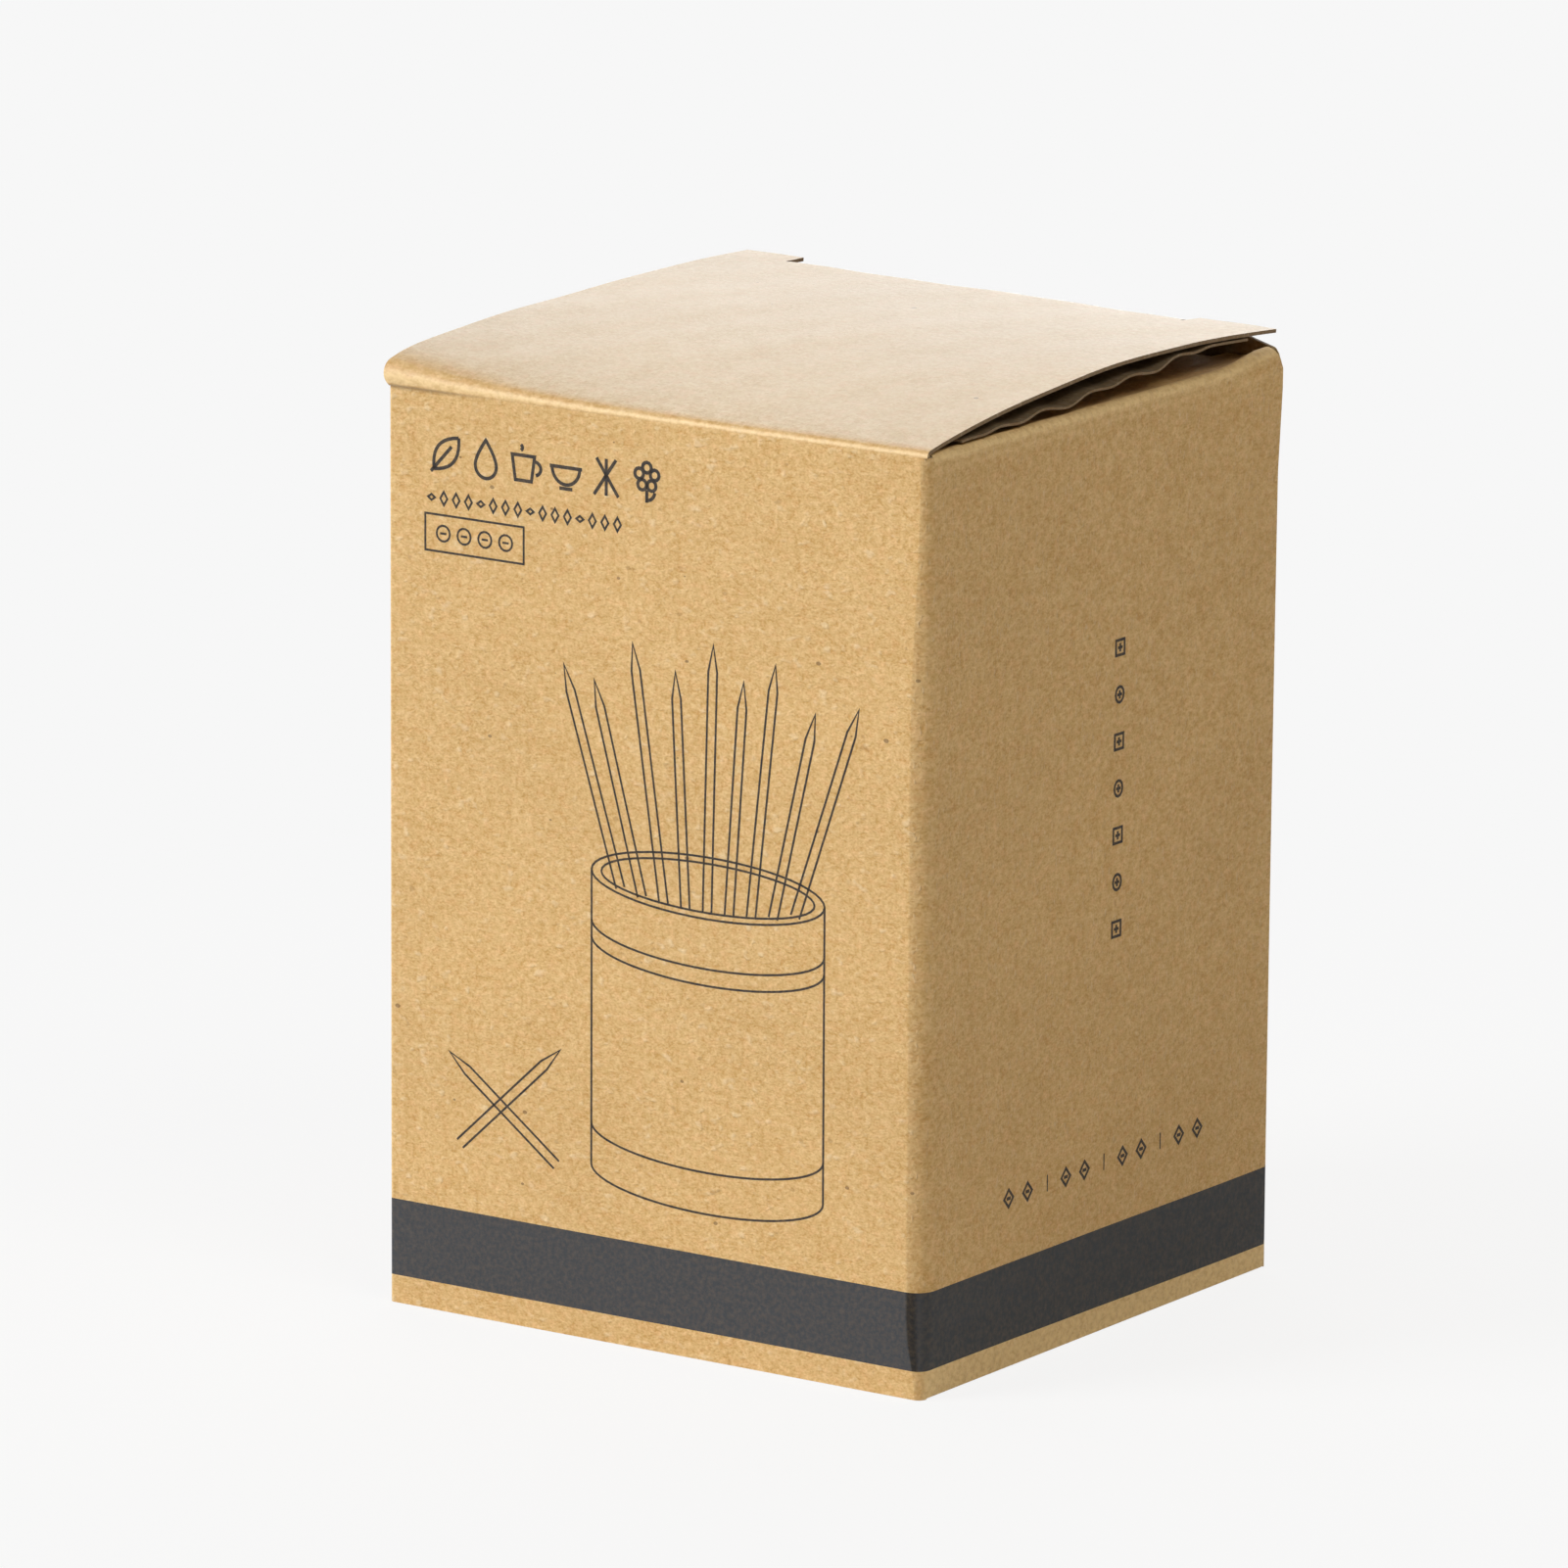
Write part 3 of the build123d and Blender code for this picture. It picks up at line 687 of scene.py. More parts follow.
def lidHeight(x, y):
    side = widthShare(x)
    t = (y + carton["back"]) / lid["run"]
    share = mix(1.0 - plumpAt(side), side, smoothStep(0.0, 1.0, t))  # the front rises only at its left end
    ripple = lid["ripple"] * sin(0.21 * x + 0.6) * sin(0.17 * y + 1.1)
    ripple += lid["crinkle"] * sin(0.55 * x - 0.3 * y)
    rise = mix(riseAt(lid["leftRise"], t), riseAt(lid["rightRise"], t), share)
    return carton["height"] + rise + ripple * smoothStep(*lid["rippleFrom"], y)


def lidSlope(x, radius, centreZ):
    # the slope at which the roll hands over to the panel, which settles to its own height after that
    climb = mix(lid["rightRise"][1], lid["leftRise"][1], plumpAt(widthShare(x)))
    short = lidHeight(x, radius - carton["back"]) - centreZ - radius
    return atan(climb / lid["run"] + max(0.0, short) / lid["settle"])


def lidRoll(x, part):
    plump = plumpAt(min(1.0, max(0.0, widthShare(x))))
    radius = mix(lid["rollRight"], lid["rollLeft"], plump)
    under = radians(mix(lid["underRight"], lid["underLeft"], plump))
    centreY = -carton["back"] + radius * cos(under)
    centreZ = pinchHeight(x) + radius * sin(under)
    angle = mix(-under, pi / 2 - lidSlope(x, radius, centreZ), part)
    return centreY - radius * cos(angle), centreZ + radius * sin(angle)


def lidPoint(x, stop):
    kind, value = stop
    if kind == "roll":
        y, z = lidRoll(x, value)
        edge = smoothStep(lid["drawFrom"], lid["left"], x)  # 1 at the left edge
        draw = lid["pinchDraw"] * (1.0 - smoothStep(0.0, lid["drawEnd"], value))
        draw -= lid["bulge"] * sin(pi * value)
        return (x + edge * draw, y, z)
    startY, startZ = lidRoll(x, 1.0)
    y = mix(startY, lid["seam"], value) if kind == "top" else mix(lid["seam"], lid["tabEnd"], value)
    settle = (startZ - lidHeight(x, startY)) * exp(-(y - startY) / lid["settle"])
    return (x, y, lidHeight(x, y) + settle)


def makeLid():
    turns, topRows, ends, middle = (lid[name] for name in ("turns", "topRows", "endColumns", "midColumns"))
    edges = [lid[name] for name in ("left", "slitLeft", "slitRight", "right")]
    columns = slitColumns(edges, (ends, middle, ends))
    rows = rowsOf("roll", turns, 0)
    rows += [(kind, share ** 1.15) for kind, share in rowsOf("top", topRows)]  # closer together at the roll
    rows += rowsOf("tab", lid["tabRows"])

    def cutOut(column, row):
        return row >= turns + topRows and ends <= column < ends + middle

    # painted shade at the pinch, then a painted highlight over the lower roll
    def paintedToneAt(x, stop):
        kind, value = stop
        if kind == "roll" and value < lid["pinchEnd"]:
            return pinchShade(x) * (1.0 - lid["pinchFade"] * value)
        toned = kind == "roll" and value < lid["highlightEnd"]
        return lid["lighten"] * sin(pi * value / lid["highlightEnd"]) if toned else 0.0

    # painted sheen over the lid's top, fading in from the roll, none on the roll
    def paintedSheenAt(x, stop):
        kind, value = stop
        bare = lid["bare"] + lid["bareLeft"] * (1.0 - smoothStep(*lid["bareFade"], x))
        return 0.0 if kind == "roll" else smoothStep(0.0, bare, value if kind == "top" else 1.0)

    piece = addSheet("lidPanel", columns, rows, lidPoint, skip=cutOut, paintedLightAndWear=paintedToneAt, face=kraftLid,
                     paintedSheen=paintedSheenAt)
    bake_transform(piece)
    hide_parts("top_lid")


makeLid()

ply = {
    "front": -29.5, "back": 31.0,
    "left": -37.2, "loose": 12.0, "right": 37.6,  # right of loose its columns are closer together
    "thick": 0.3,
    "under": 0.72,  # below the lid's upper face where the two lie together
    "gape": 1.8,  # how far its right edge hangs off the lid
    "hang": (3.0, 60.0),  # along the run from the front crease
    "edgeFrom": 0.55,  # share of the width from which it hangs and waves
    "wave": 9.4, "swing": 0.24, "stray": 0.12,
    "waveIn": (8.0, 16.0), "waveOut": (54.0, 60.0),
}


def plyPoint(x, y):
    run = y + carton["back"]
    edge = smoothStep(ply["edgeFrom"], 1.0, widthShare(x))
    first, last = ply["hang"]
    hang = ply["gape"] * max(0.0, sin(pi * (run - first) / (last - first))) if first < run < last else 0.0
    wave = sin(2 * pi * run / ply["wave"] + 0.8) + 0.5 * sin(2 * pi * run / (ply["wave"] * 1.7) + 2.1)
    fade = smoothStep(*ply["waveIn"], run) * (1.0 - smoothStep(*ply["waveOut"], run))
    drop = max(0.0, hang + ply["swing"] * wave * fade)
    return (x + ply["stray"] * wave * edge * fade, y, lidHeight(x, y) - ply["under"] - drop * edge)


def makePly():
    columns = slitColumns((ply["left"], ply["loose"], ply["right"]), (16, 18))
    piece = addSheet("lidPly", columns, stops(ply["front"], ply["back"], 84), plyPoint,
                     thickness=ply["thick"], face=plyPaintedShade)
    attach(piece, "carton_lid")
    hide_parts("lid_liner")


makePly()

tuck = {
    "half": 28.2, "shift": -1.5, "deep": 14.0, "lean": 12.0, "taper": 3.5, "tip": 6.0,
    "creaseY": 35.1, "round": 0.75, "droop": 0.2, "leftDroop": 0.5,
    "floorCreaseY": -35.0, "floorRound": 0.7,
    "lighten": 0.3,
}
tuckColumns = stops(-1.0, 1.0, 36)
tuckRows = rowsOf("strip", 4, 0) + rowsOf("turn", 8)
tuckRows += [("fall", tuck["deep"] * sin(pi / 2 * k / 14)) for k in range(1, 15)]


def tipDraw(tip, last):
    # how far a side draws in along the rounding of a free end
    return tip - (max(0.0, tip ** 2 - last ** 2)) ** 0.5


def tuckWidth(down):
    narrow = tuck["taper"] * down / tuck["deep"]
    last = max(0.0, down - (tuck["deep"] - tuck["tip"]))
    return tuck["half"] - narrow - tipDraw(tuck["tip"], last)


def tuckFold(radius, stop):
    # how far the sheet has gone out and down from the start of its bend
    kind, value = stop
    lean = radians(tuck["lean"])
    turn = (pi / 2 + lean) * (value if kind == "turn" else 1.0)
    out, down = radius * sin(turn), radius * (1.0 - cos(turn))
    if kind == "fall":
        out -= value * sin(lean)
        down += value * cos(lean)
    return out, down


def topTuckPoint(across, stop):
    kind, value = stop
    x = tuck["shift"] + across * (tuckWidth(value) if kind == "fall" else tuck["half"])
    droop = tuck["droop"] + tuck["leftDroop"] * smoothStep(0.0, -28.0, x)
    if kind == "strip":
        y = mix(lid["seam"], tuck["creaseY"], value)
        return (x, y, lidHeight(x, y) - droop * value * value)
    out, down = tuckFold(tuck["round"], stop)
    return (x, tuck["creaseY"] + out, lidHeight(x, tuck["creaseY"]) - droop - down)


def tuckScuff(across, stop):
    return tuck["lighten"] if stop[0] == "turn" else 0.0


# painted sheen on the tuck's strip, fading round its bend
def tuckPaintedSheen(across, stop):
    return {"strip": 1.0, "turn": 1.0 - stop[1]}.get(stop[0], 0.0)


def makeTopTuck():
    piece = addSheet("topTuck", tuckColumns, tuckRows, topTuckPoint, paintedLightAndWear=tuckScuff, face=kraftLid,
                     paintedSheen=tuckPaintedSheen)
    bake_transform(piece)
    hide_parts("top_tuck_flap")


makeTopTuck()
print("lid, inner ply and tuck folded")

# the folds are lightened along their crests and just past them: painted highlight
dust = {"shoulder": 6.0, "notch": 2.8, "reach": 34.0, "tip": 4.0, "tipLean": 0.4, "turnEnd": 112.0,
        "play": 0.04, "lighten": (0.4, 0.95), "highlightFull": 0.15, "highlightFlat": 0.6, "highlightFade": 0.4}
# the top pair, 1, and the bottom pair, -1, which is the same fold turned over about the X axis
dustFolds = {
    1: {"round": 1.0, "board": carton["board"], "face": 111.35, "foot": sleeve["sideTop"], "settle": 1.3,
        "near": carton["nearTop"], "backPlay": 0.04, "bendRise": 0.6},
    -1: {"round": 0.32, "board": 0.3, "face": 0.65, "foot": sleeve["sideFold"], "settle": 0.8,
         "near": carton["nearFoot"], "backPlay": 0.3, "bendRise": -0.3},
}
flatStops = [0.7, 1.5, 2.5, 3.5, 4.6, 5.6, 6.0, 6.35, 7.5] + stops(9.0, 30.0, 7) + [31.5, 32.7, 33.5, 34.0]
dustRows = rowsOf("turn", 9, 0) + [("flat", d) for d in flatStops]


def dustSpan(side, upright, d):
    fold = dustFolds[upright]
    front = -carton["back"] + (fold["near"] if side > 0 else carton["cornerRound"]) + dust["play"]
    back = carton["back"] - carton["cornerRound" if side > 0 else "seamShort"] - fold["backPlay"]
    near, far = (front, back) if upright > 0 else (-back, -front)
    near += d
    if d > dust["shoulder"]:
        far -= dust["notch"]
    draw = tipDraw(dust["tip"], max(0.0, d - (dust["reach"] - dust["tip"])))
    return near + draw * dust["tipLean"], far - draw


def dustPoint(side, upright, share, stop):
    kind, value = stop
    fold = dustFolds[upright]
    low, high = dustSpan(side, upright, value if kind == "flat" else 0.0)
    y = mix(low, high, share) * upright
    foot = sideTopAt(y) if upright > 0 else fold["foot"]
    angle = radians(dust["turnEnd"] * (value if kind == "turn" else 1.0))
    out = carton["right"] - fold["round"] + fold["round"] * cos(angle)
    if side < 0:
        out += carton["leftEase"]
    z = foot + upright * fold["round"] * sin(angle)
    if kind == "flat":
        z = mix(fold["face"], z, exp(-value / fold["settle"]))
        out -= value
    else:
        out += panelBow(depthShare(y), foot) * cos(angle)
    return (flared(side * out, y, z), y, z)


# painted highlight along the fold's crest, fading over the flat
def dustScuff(share, stop):
    kind, value = stop
    if kind == "turn":
        return mix(*dust["lighten"], smoothStep(0.0, dust["highlightFull"], value))
    return dust["highlightFlat"] * exp(-value / dust["highlightFade"])


def makeDust(name, side, upright, node):
    def putAt(share, stop):
        return dustPoint(side, upright, share, stop)

    fold = dustFolds[upright]
    piece = addSheet(name, stops(0.0, 1.0, 28), dustRows, putAt, flip=side < 0, paintedLightAndWear=dustScuff,
                     thickness=fold["board"])
    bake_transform(piece)
    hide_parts(node)


for side, word in ((1, "right"), (-1, "left")):
    makeDust("topDust" + word.capitalize(), side, 1, "top_dust_flap_" + word)
    makeDust("bottomDust" + word.capitalize(), side, -1, "bottom_dust_flap_" + word)
print("dust flaps folded")

bottom = {
    "half": 35.8, "slit": 28.75, "round": 0.9, "low": 0.06, "seam": -33.0, "tabEnd": -36.3,
    "endColumns": 4, "midColumns": 24,
    "turns": 8, "flatRows": 24, "tabRows": 3,
}


def floorPoint(x, stop):
    kind, value = stop
    radius = bottom["round"]
    start = carton["back"] - radius
    if kind == "turn":
        angle = radians(90.0 * value)
        bow = panelBow(widthShare(x), sleeve["backFoot"])
        return (x, start + (radius + bow) * cos(angle), bottom["low"] + radius * (1.0 - sin(angle)))
    first, last = (start, bottom["seam"]) if kind == "flat" else (bottom["seam"], bottom["tabEnd"])
    return (x, mix(first, last, value), bottom["low"])


def makeFloor():
    turns, flatRows = bottom["turns"], bottom["flatRows"]
    ends, middle = bottom["endColumns"], bottom["midColumns"]
    edges = (-bottom["half"], -bottom["slit"], bottom["slit"], bottom["half"])
    columns = slitColumns(edges, (ends, middle, ends))
    rows = rowsOf("turn", turns, 0) + rowsOf("flat", flatRows) + rowsOf("tab", bottom["tabRows"])

    def cutOut(column, row):
        return row >= turns + flatRows and ends <= column < ends + middle

    piece = addSheet("floorPanel", columns, rows, floorPoint, skip=cutOut)
    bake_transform(piece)
    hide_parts("bottom_lid")


def floorTuckPoint(across, stop):
    kind, value = stop
    x = across * (tuckWidth(value) if kind == "fall" else tuck["half"])
    if kind == "strip":
        return (x, mix(bottom["seam"], tuck["floorCreaseY"], value), bottom["low"])
    out, down = tuckFold(tuck["floorRound"], stop)
    return (x, tuck["floorCreaseY"] - out, bottom["low"] + down)


def makeFloorTuck():
    piece = addSheet("floorTuck", tuckColumns, tuckRows, floorTuckPoint, paintedLightAndWear=tuckScuff)
    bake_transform(piece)
    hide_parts("bottom_tuck_flap")


makeFloor()
makeFloorTuck()
print("floor folded")


# print: every stroke is a ribbon on its panel, u along the panel from its left edge and z up, in millimetres
printLook = {"proud": 0.025, "thick": 0.05, "longest": 4.0,
             "bold": 0.42, "dot": 0.4, "mark": 0.34, "fine": 0.26, "hair": 0.2}  # widths


def ring(u, z, wide, high, start=0.0, end=360.0, count=28):
    angles = [radians(a) for a in stops(start, end, count)]
    return [(u + wide * cos(a), z + high * sin(a)) for a in angles]


def bend(first, pull, last, count=10):
    # a curve from first to last, drawn towards pull
    points = []
    for part in stops(0.0, 1.0, count):
        a, b, c = (1 - part) ** 2, 2 * part * (1 - part), part * part
        points.append((a * first[0] + b * pull[0] + c * last[0], a * first[1] + b * pull[1] + c * last[1]))
    return points


def oblong(low, high):
    return [low, (high[0], low[1]), high, (low[0], high[1]), low]


def diamond(u, z, half, tall):
    return [(u, z + tall), (u + half, z), (u, z - tall), (u - half, z), (u, z + tall)]


def dash(u, z, half):
    return [(u - half, z), (u + half, z)]


def post(u, z, half):
    return [(u, z - half), (u, z + half)]


def inked(width, *paths):
    return [(path, printLook[width]) for path in paths]


def finelyCut(path):
    # long runs are divided so that the ribbon follows the panel's swell
    cut = [path[0]]
    for here, there in zip(path, path[1:]):
        length = ((there[0] - here[0]) ** 2 + (there[1] - here[1]) ** 2) ** 0.5
        count = int(length / printLook["longest"]) + 1
        parts = [k / count for k in range(1, count + 1)]
        cut += [(mix(here[0], there[0], part), mix(here[1], there[1], part)) for part in parts]
    return cut


def ribbonSides(path, width):
    closed = abs(path[0][0] - path[-1][0]) + abs(path[0][1] - path[-1][1]) < 1e-6
    spots = [Vector(point) for point in path]
    sides = []
    for k, spot in enumerate(spots):
        before = spots[k - 1] if k else spots[-2] if closed else spot
        after = spots[k + 1] if k + 1 < len(spots) else spots[1] if closed else spot
        first = (spot - before).normalized() if before != spot else (after - spot).normalized()
        second = (after - spot).normalized() if after != spot else first
        along = (first + second).normalized() if (first + second).length > 1e-6 else first
        across = Vector((-along.y, along.x))
        reach = width / 2 / max(0.45, abs(across.dot(Vector((-first.y, first.x)))))  # mitred corners
        sides.append((spot - across * reach, spot + across * reach))
    return sides


def addPrint(name, strokes, face):
    ribbons = []
    for path, width in strokes:
        sides = ribbonSides(finelyCut(path), width)
        ribbons.append(addGrid(len(sides), 2,
                               lambda column, row: face(*sides[column][row], printLook["proud"])))
    deselectAll()
    for ribbon in ribbons:
        ribbon.select_set(True)
    bpy.context.view_layer.objects.active = ribbons[0]
    bpy.ops.object.join()
    piece = bpy.context.object
    piece.name = name
    piece.data.name = name
    bpy.ops.object.mode_set(mode="EDIT")
    weldAll()
    bpy.ops.object.mode_set(mode="OBJECT")
    piece.data.materials.append(printInk)
    thicken(piece, printLook["thick"])
    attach(piece, "carton_and_cup")


def frontSpot(u, z, proud):
    return frontFace(u - carton["right"], z, proud)


def rightSpot(u, z, proud):
    return rightFace(u - carton["back"], z, proud)


# signs of the heading, each about two units across
signs = {
    "leaf": [bend((-0.75, -0.85), (-0.95, 0.75), (0.8, 0.9)),
             bend((0.8, 0.9), (0.95, -0.75), (-0.75, -0.85)), [(-0.95, -1.0), (0.35, 0.4)]],
    "drop": [bend((0, 1), (-0.66, 0.1), (-0.66, -0.32)) + ring(0, -0.32, 0.66, 0.66, 180, 360, 14)[1:]
             + bend((0.66, -0.32), (0.66, 0.1), (0, 1))[1:]],
    "cup": [[(-0.85, 0.5), (-0.65, -0.8), (0.35, -0.8), (0.55, 0.5), (-0.85, 0.5)],
            ring(0.52, -0.1, 0.42, 0.36, -75, 80, 12), bend((-0.3, 0.75), (-0.1, 0.9), (-0.3, 1.05), 5)],
    "bowl": [ring(0, 0.2, 0.86, 0.9, 180, 360, 16), dash(0, 0.2, 1.0), dash(0, -0.9, 0.4)],
    "picks": [[(-0.75, -0.95), (0.6, 0.95)], [(0.75, -0.95), (-0.6, 0.95)], post(0.0, 0.0, 0.95)],
    "flower": [ring(0.5 * cos(a), 0.3 + 0.5 * sin(a), 0.27, 0.27, 0, 360, 12)
               for a in (radians(18 + 72 * k) for k in range(5))]
    + [[(0, -0.35), (0, -1.0)], bend((0, -0.9), (0.4, -0.85), (0.5, -0.45), 6)],
}
heading = {
    "signs": (8.0, 104.0), "signStep": 5.75, "signSize": 2.3,  # from the first one
    "beads": (5.9, 98.6), "beadStep": 1.78, "beadCount": 16,
    "beadHalf": 0.5, "beadTall": 0.8, "beadSmall": 0.35,  # every fourth bead is small
    "plate": ((5.0, 92.2), (19.2, 96.6)),
    "rings": (7.6, 94.4), "ringStep": 3.0, "ringCount": 4, "ringSize": 0.95, "ringDash": 0.45,
}


def headStrokes():
    strokes = []
    firstU, z = heading["signs"]
    size = heading["signSize"]
    for k, paths in enumerate(signs.values()):
        u = firstU + heading["signStep"] * k
        strokes += inked("bold", *([(u + size * a, z + size * b) for a, b in path] for path in paths))
    firstU, z = heading["beads"]
    for k in range(heading["beadCount"]):
        tall = heading["beadTall" if k % 4 else "beadSmall"]
        strokes += inked("fine", diamond(firstU + heading["beadStep"] * k, z, heading["beadHalf"], tall))
    strokes += inked("fine", oblong(*heading["plate"]))
    firstU, z = heading["rings"]
    for k in range(heading["ringCount"]):
        u = firstU + heading["ringStep"] * k
        hoop = ring(u, z, heading["ringSize"], heading["ringSize"], count=14)
        strokes += inked("fine", hoop, dash(u, z, heading["ringDash"]))
    return strokes


jar = {
    "middle": 45.5, "half": 16.5, "rim": 57.0, "foot": 21.5, "round": 3.7, "lip": 1.4, "lipRound": 0.75,
    "bands": (26.5, 51.0, 49.0),
    "picks": 9, "pickHalf": 0.62, "pickPoint": 3.2,
    "pickRow": 0.82,  # how much of the mouth the picks take up
    "pickTop": 86.0, "crown": 5.0, "stagger": 3.5, "fan": 20.5, "sway": 0.8,
    "loosePicks": (((10.0, 21.0), (24.5, 34.5)), ((24.0, 20.5), (8.5, 32.0))),
}


def pickOutline(foot, head):
    # a flat-ended shaft with a pointed head
    a, b = Vector(foot), Vector(head)
    along = (b - a).normalized()
    across = Vector((-along.y, along.x)) * jar["pickHalf"]
    neck = b - along * jar["pickPoint"]
    return [tuple(a + across), tuple(neck + across), tuple(b), tuple(neck - across), tuple(a - across)]


def jarStrokes():
    middle, half, rim, foot, low = (jar[name] for name in ("middle", "half", "rim", "foot", "round"))
    inner, innerLow = half - jar["lip"], low - jar["lipRound"]
    paths = [ring(middle, rim, half, low, 0, 360, 48), ring(middle, rim, inner, innerLow, 0, 360, 48),
             [(middle - half, rim), (middle - half, foot)], [(middle + half, rim), (middle + half, foot)]]
    paths += [ring(middle, z, half, low, 180, 360, 30) for z in (foot, *jar["bands"])]
    for k in range(jar["picks"]):
        spot = 2.0 * k / (jar["picks"] - 1) - 1.0
        lean = jar["pickRow"] * spot
        start = (middle + jar["pickRow"] * inner * spot, rim - innerLow * (1.0 - lean ** 2) ** 0.5)
        top = jar["pickTop"] - jar["crown"] * spot * spot - jar["stagger"] * (k % 2)
        paths.append(pickOutline(start, (middle + jar["fan"] * spot + jar["sway"] * sin(5.0 * k), top)))
    paths += [pickOutline(*ends) for ends in jar["loosePicks"]]
    return inked("fine", *paths)


sideMarks = {
    "column": (40.0, 48.6), "columnStep": 5.65, "columnCount": 7,  # up from the lowest mark
    "square": 0.9, "oval": (0.85, 0.95), "cross": 0.5,
    "row": (17.8, 20.6), "rowStep": 12.15, "rowCount": 4, "pairStep": 4.0,
    "diamond": (0.95, 1.05), "dot": 0.4,
    "bar": (26.0, 20.7), "barStep": 12.1, "barHalf": 1.0,
}


def sideStrokes():
    strokes = []
    u, lowest = sideMarks["column"]
    half, cross = sideMarks["square"], sideMarks["cross"]
    for k in range(sideMarks["columnCount"]):
        z = lowest + sideMarks["columnStep"] * k
        square = oblong((u - half, z - half), (u + half, z + half))
        shape = ring(u, z, *sideMarks["oval"], count=12) if k % 2 else square
        strokes += inked("mark", shape, dash(u, z, cross), post(u, z, cross))
    firstU, z = sideMarks["row"]
    barU, barZ = sideMarks["bar"]
    for k in range(sideMarks["rowCount"]):
        for shift in (0.0, sideMarks["pairStep"]):
            u = firstU + sideMarks["rowStep"] * k + shift
            strokes += inked("mark", diamond(u, z, *sideMarks["diamond"]))
            strokes += inked("dot", dash(u, z, sideMarks["dot"]))
        if k < sideMarks["rowCount"] - 1:
            strokes += inked("hair", post(barU + sideMarks["barStep"] * k, barZ, sideMarks["barHalf"]))
    return strokes


addPrint("frontHeading", headStrokes(), frontSpot)
addPrint("frontDrawing", jarStrokes(), frontSpot)
addPrint("sideMarks", sideStrokes(), rightSpot)
print("print laid on the panels")


# fluted skirt round the holder's lid, worked along the lid's leaf plan
flutes = {
    "side": 62.0, "tight": 10.0, "straight": 2.0, "inset": 0.3,
    "pitch": 1.15, "steps": 6, "deep": 0.26, "proud": 0.03, "thick": 0.3,
    "valley": 0.12,  # share of the depth left between two flutes
    # height over the lid's lower edge and share of the depth there, below zero where it sinks in
    "profile": ((0.5, -0.12), (0.6, 0.35), (0.9, 0.85), (1.3, 1.0), (6.3, 1.0), (6.8, 0.85), (7.15, 0.35),
                (7.3, -0.12)),
}


def leafPath(inset):
    # straight and round stretches of the leaf plan, anticlockwise
    # a line has its length, start and two directions, a turn its length, centre, radius and first angle
    side = flutes["side"] - 2 * inset
    half, tight = side / 2, flutes["tight"] - inset
    broad = side - tight - flutes["straight"]
    stretches = []
    for turn in range(4):
        radius, other = (tight, broad) if turn % 2 == 0 else (broad, tight)
        angle = turn * pi / 2
        ahead, outward = Vector((-sin(angle), cos(angle))), Vector((cos(angle), sin(angle)))
        start = outward * half + ahead * (other - half)
        stretches.append(("line", flutes["straight"], start, ahead, outward))
        centre = outward * (half - radius) + ahead * (half - radius)
        stretches.append(("turn", radius * pi / 2, centre, radius, angle))
    return stretches


def leafSpot(stretches, distance):
    for stretch in stretches:
        kind, length, spot, extra, last = stretch
        if distance <= length or stretch is stretches[-1]:
            if kind == "line":
                return spot + extra * distance, last
            angle = last + distance / extra
            outward = Vector((cos(angle), sin(angle)))
            return spot + outward * extra, outward
        distance -= length


def makeFlutes():
    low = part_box("lid_cap")[0]
    stretches = leafPath(flutes["inset"])
    around = sum(stretch[1] for stretch in stretches)
    count = int(around / flutes["pitch"])
    columns = stops(0.0, around, count * flutes["steps"])

    def putAt(distance, row):
        rise, share = row
        spot, outward = leafSpot(stretches, min(distance, around - 1e-6) if distance < around else 0.0)
        crest = mix(flutes["valley"], 1.0, abs(sin(pi * distance * count / around)) ** 0.8)
        place = spot + outward * (flutes["proud"] + flutes["deep"] * share * crest if share > 0 else share)
        return (place.x, place.y, low.z / mm + rise)

    piece = addSheet("lidFlutes", columns, flutes["profile"], putAt, thickness=flutes["thick"],
                     plain=holderFinish["lid"])
    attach(piece, "holder_lid")


makeFlutes()
print("lid fluted")

# camera: the photograph's view of the carton, in millimetres
shot = {"azimuth": 34.48, "elevation": 13.05, "roll": 0.292, "distance": 1604.6, "lens": 309.7,
        "target": (-7.22, 0.0, 60.48)}


def makeCamera():
    data = bpy.data.cameras.new("shot")
    camera = bpy.data.objects.new("shot", data)
    bpy.context.scene.collection.objects.link(camera)
    az, el, roll = (radians(shot[name]) for name in ("azimuth", "elevation", "roll"))
    back = Vector((sin(az) * cos(el), -cos(az) * cos(el), sin(el)))
    right = Vector((cos(az), sin(az), 0.0))
    up = back.cross(right)
    tiltRight = right * cos(roll) + up * sin(roll)
    tiltUp = up * cos(roll) - right * sin(roll)
    place = (Vector(shot["target"]) + back * shot["distance"]) * mm
    turn = Matrix((tiltRight, tiltUp, back)).transposed()
    camera.matrix_world = Matrix.Translation(place) @ turn.to_4x4()
    data.lens = shot["lens"]
    data.sensor_width = 36.0
    data.clip_start = 0.1
    data.clip_end = 20.0
    bpy.context.scene.camera = camera


makeCamera()

studio = {
    "white": 0.93,
    "horizon": 0.05,  # a weak glow, mostly from the sides
    "zenith": 0.02,
    "glowFade": (0.35, 0.8),
    "floor": 0.92,
    "floorSize": 8.0,
    "shadowKept": 0.12,
    "shadowFade": (0.06, 0.24),  # metres from the middle of the floor
    "nearWhite": 0.972,  # evens out what the matte part takes away
}
lamps = [
    # name, place, aim, width, height, power, tint
    ("keyLamp", (-1.76, -2.11, 1.11), (0, 0, 0.06), 1.4, 1.1, 79.0, (1.0, 1.0, 1.0)),
    ("fillLamp", (1.08, -0.34, 1.36), (0, 0, 0.06), 0.9, 0.7, 10.7, (1.0, 0.92, 0.78)),
    ("rimLamp", (-0.95, 1.40, 0.82), (0, 0, 0.11), 1.6, 1.5, 14.6, (1.0, 1.0, 1.0)),
]


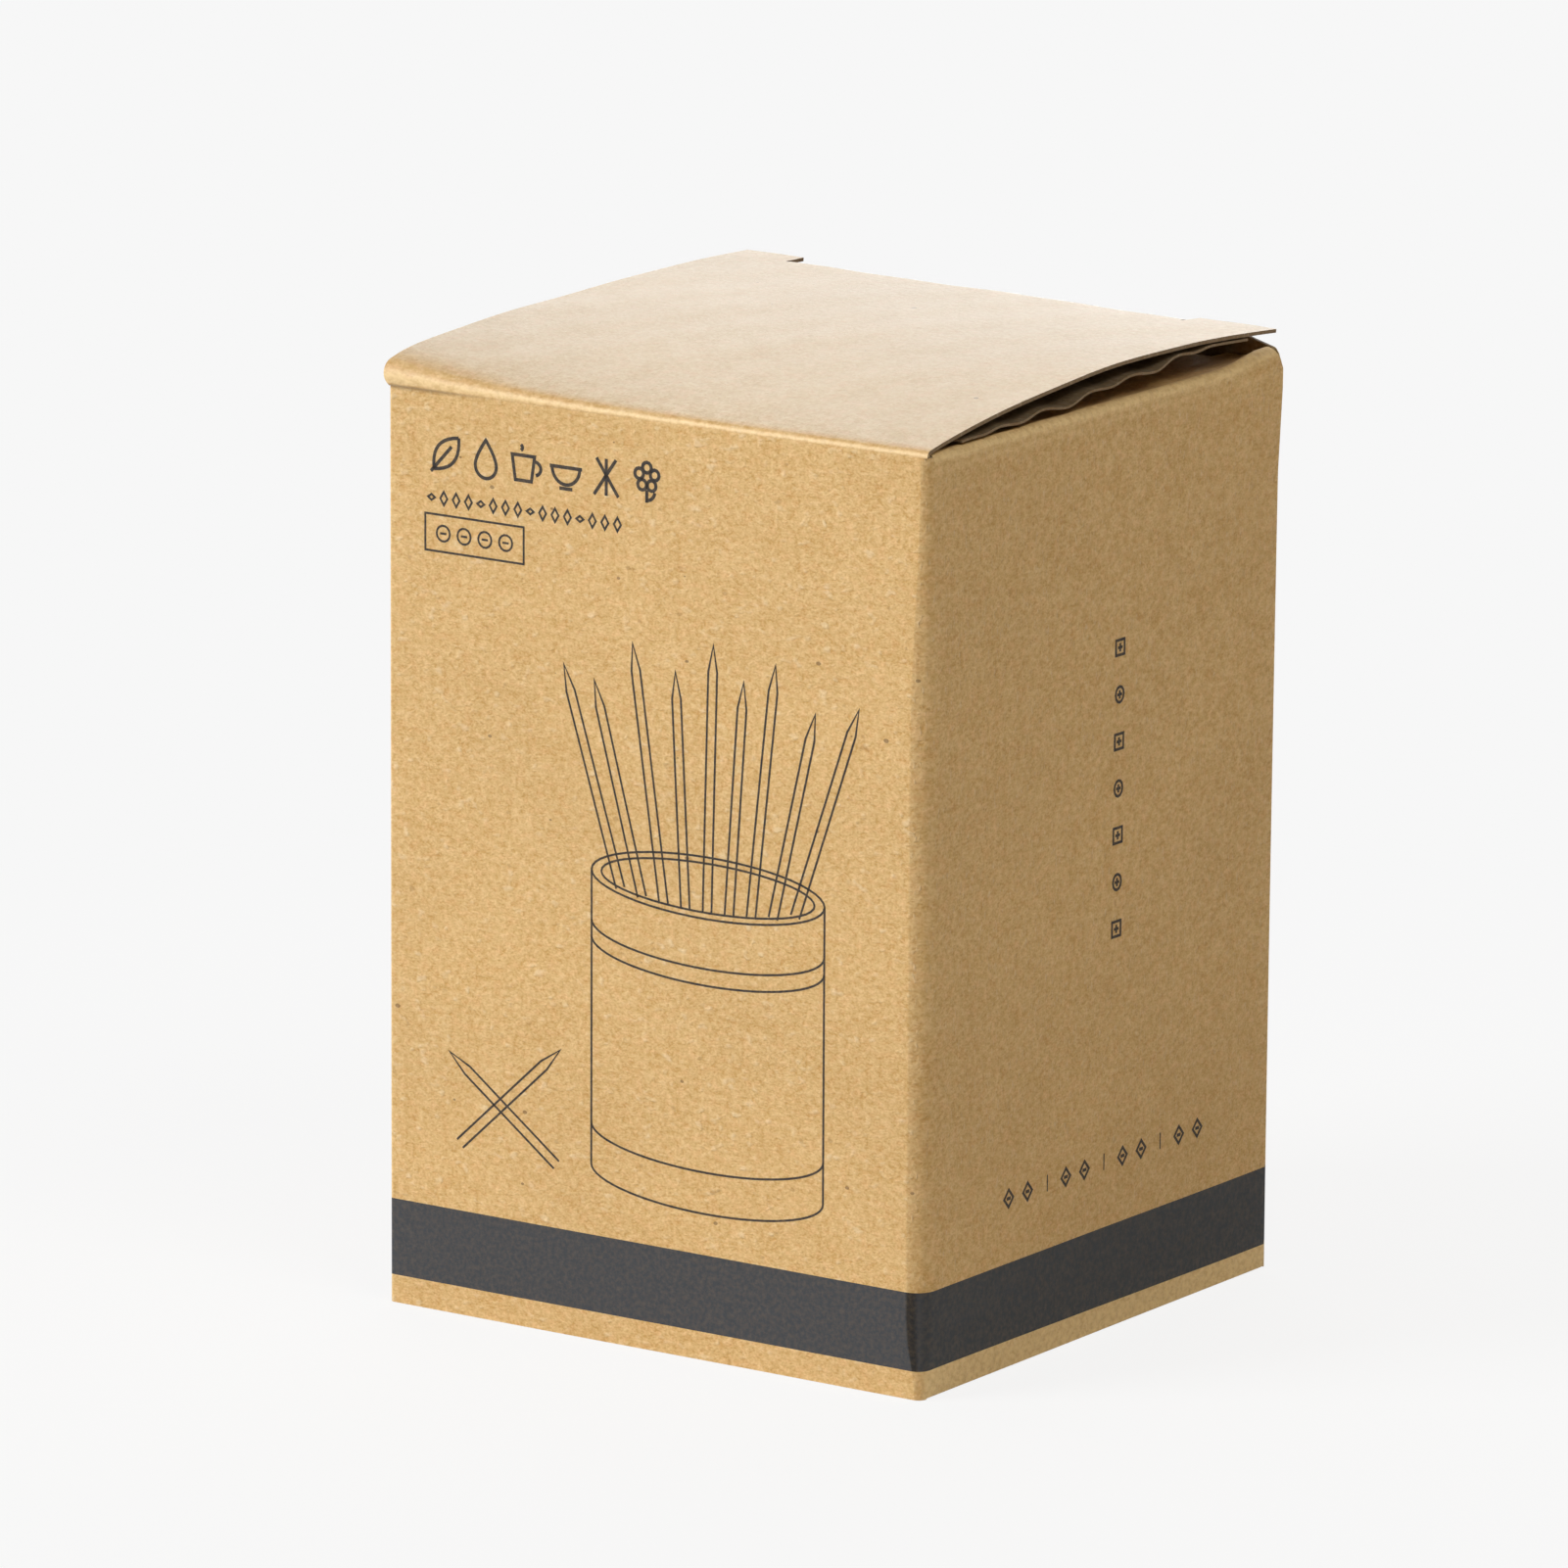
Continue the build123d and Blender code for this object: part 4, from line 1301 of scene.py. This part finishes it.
def seenRays(tree):
    # rays that show the surroundings white: the camera's own, reflected and refracted
    rays = addNode(tree, "ShaderNodeLightPath").outputs
    seen = mathNode(tree, "MAXIMUM", rays["Is Camera Ray"], rays["Is Glossy Ray"])
    return mathNode(tree, "MAXIMUM", seen, rays["Is Transmission Ray"])


def makeWorld():
    world = bpy.data.worlds.new("studio")
    bpy.context.scene.world = world
    world.use_nodes = True
    tree = world.node_tree
    sky = tree.nodes["Background"]
    sky.inputs["Color"].default_value = (1.0, 1.0, 1.0, 1.0)
    toward = addNode(tree, "ShaderNodeSeparateXYZ")
    tree.links.new(addNode(tree, "ShaderNodeTexCoord").outputs["Generated"], toward.inputs[0])
    glow = spread(tree, toward.outputs["Z"], *studio["glowFade"], studio["horizon"], studio["zenith"])
    seen = seenRays(tree)
    hidden = mathNode(tree, "MULTIPLY", glow, mathNode(tree, "SUBTRACT", 1.0, seen))
    feedAll(tree, sky, Strength=mathNode(tree, "MULTIPLY_ADD", seen, studio["white"], hidden))


def makeLamps():
    for name, place, aim, width, height, power, tint in lamps:
        data = bpy.data.lights.new(name, "AREA")
        data.shape = "RECTANGLE"
        data.size = width
        data.size_y = height
        data.energy = power
        data.color = tint
        lamp = bpy.data.objects.new(name, data)
        bpy.context.scene.collection.objects.link(lamp)
        lamp.location = place
        lamp.rotation_euler = (Vector(aim) - Vector(place)).to_track_quat("-Z", "Y").to_euler()


def makeGround():
    deselectAll()
    bpy.ops.mesh.primitive_plane_add(size=studio["floorSize"])
    floor = bpy.context.object
    floor.name = "floor"
    material, tree, shader, place = startMaterial("paleFloor")
    tree.nodes.remove(shader)
    matte = addNode(tree, "ShaderNodeBsdfDiffuse")
    matte.inputs["Color"].default_value = (studio["floor"],) * 3 + (1.0,)
    far = addNode(tree, "ShaderNodeVectorMath", operation="LENGTH")
    tree.links.new(place, far.inputs[0])
    keep = spread(tree, far.outputs["Value"], *studio["shadowFade"], 1.0 - studio["shadowKept"], 1.0)
    white = spread(tree, far.outputs["Value"], *studio["shadowFade"], studio["nearWhite"], studio["white"])
    glow = addNode(tree, "ShaderNodeEmission")
    feedAll(tree, glow, Strength=white)
    blend = addNode(tree, "ShaderNodeMixShader")
    parts = (mathNode(tree, "MULTIPLY", seenRays(tree), keep), matte.outputs[0], glow.outputs[0])
    for socket, value in zip(blend.inputs, parts):
        tree.links.new(value, socket)
    tree.links.new(blend.outputs[0], tree.nodes["Material Output"].inputs["Surface"])
    floor.data.materials.append(material)


makeWorld()
makeLamps()
makeGround()
print("camera, lamps and floor set")
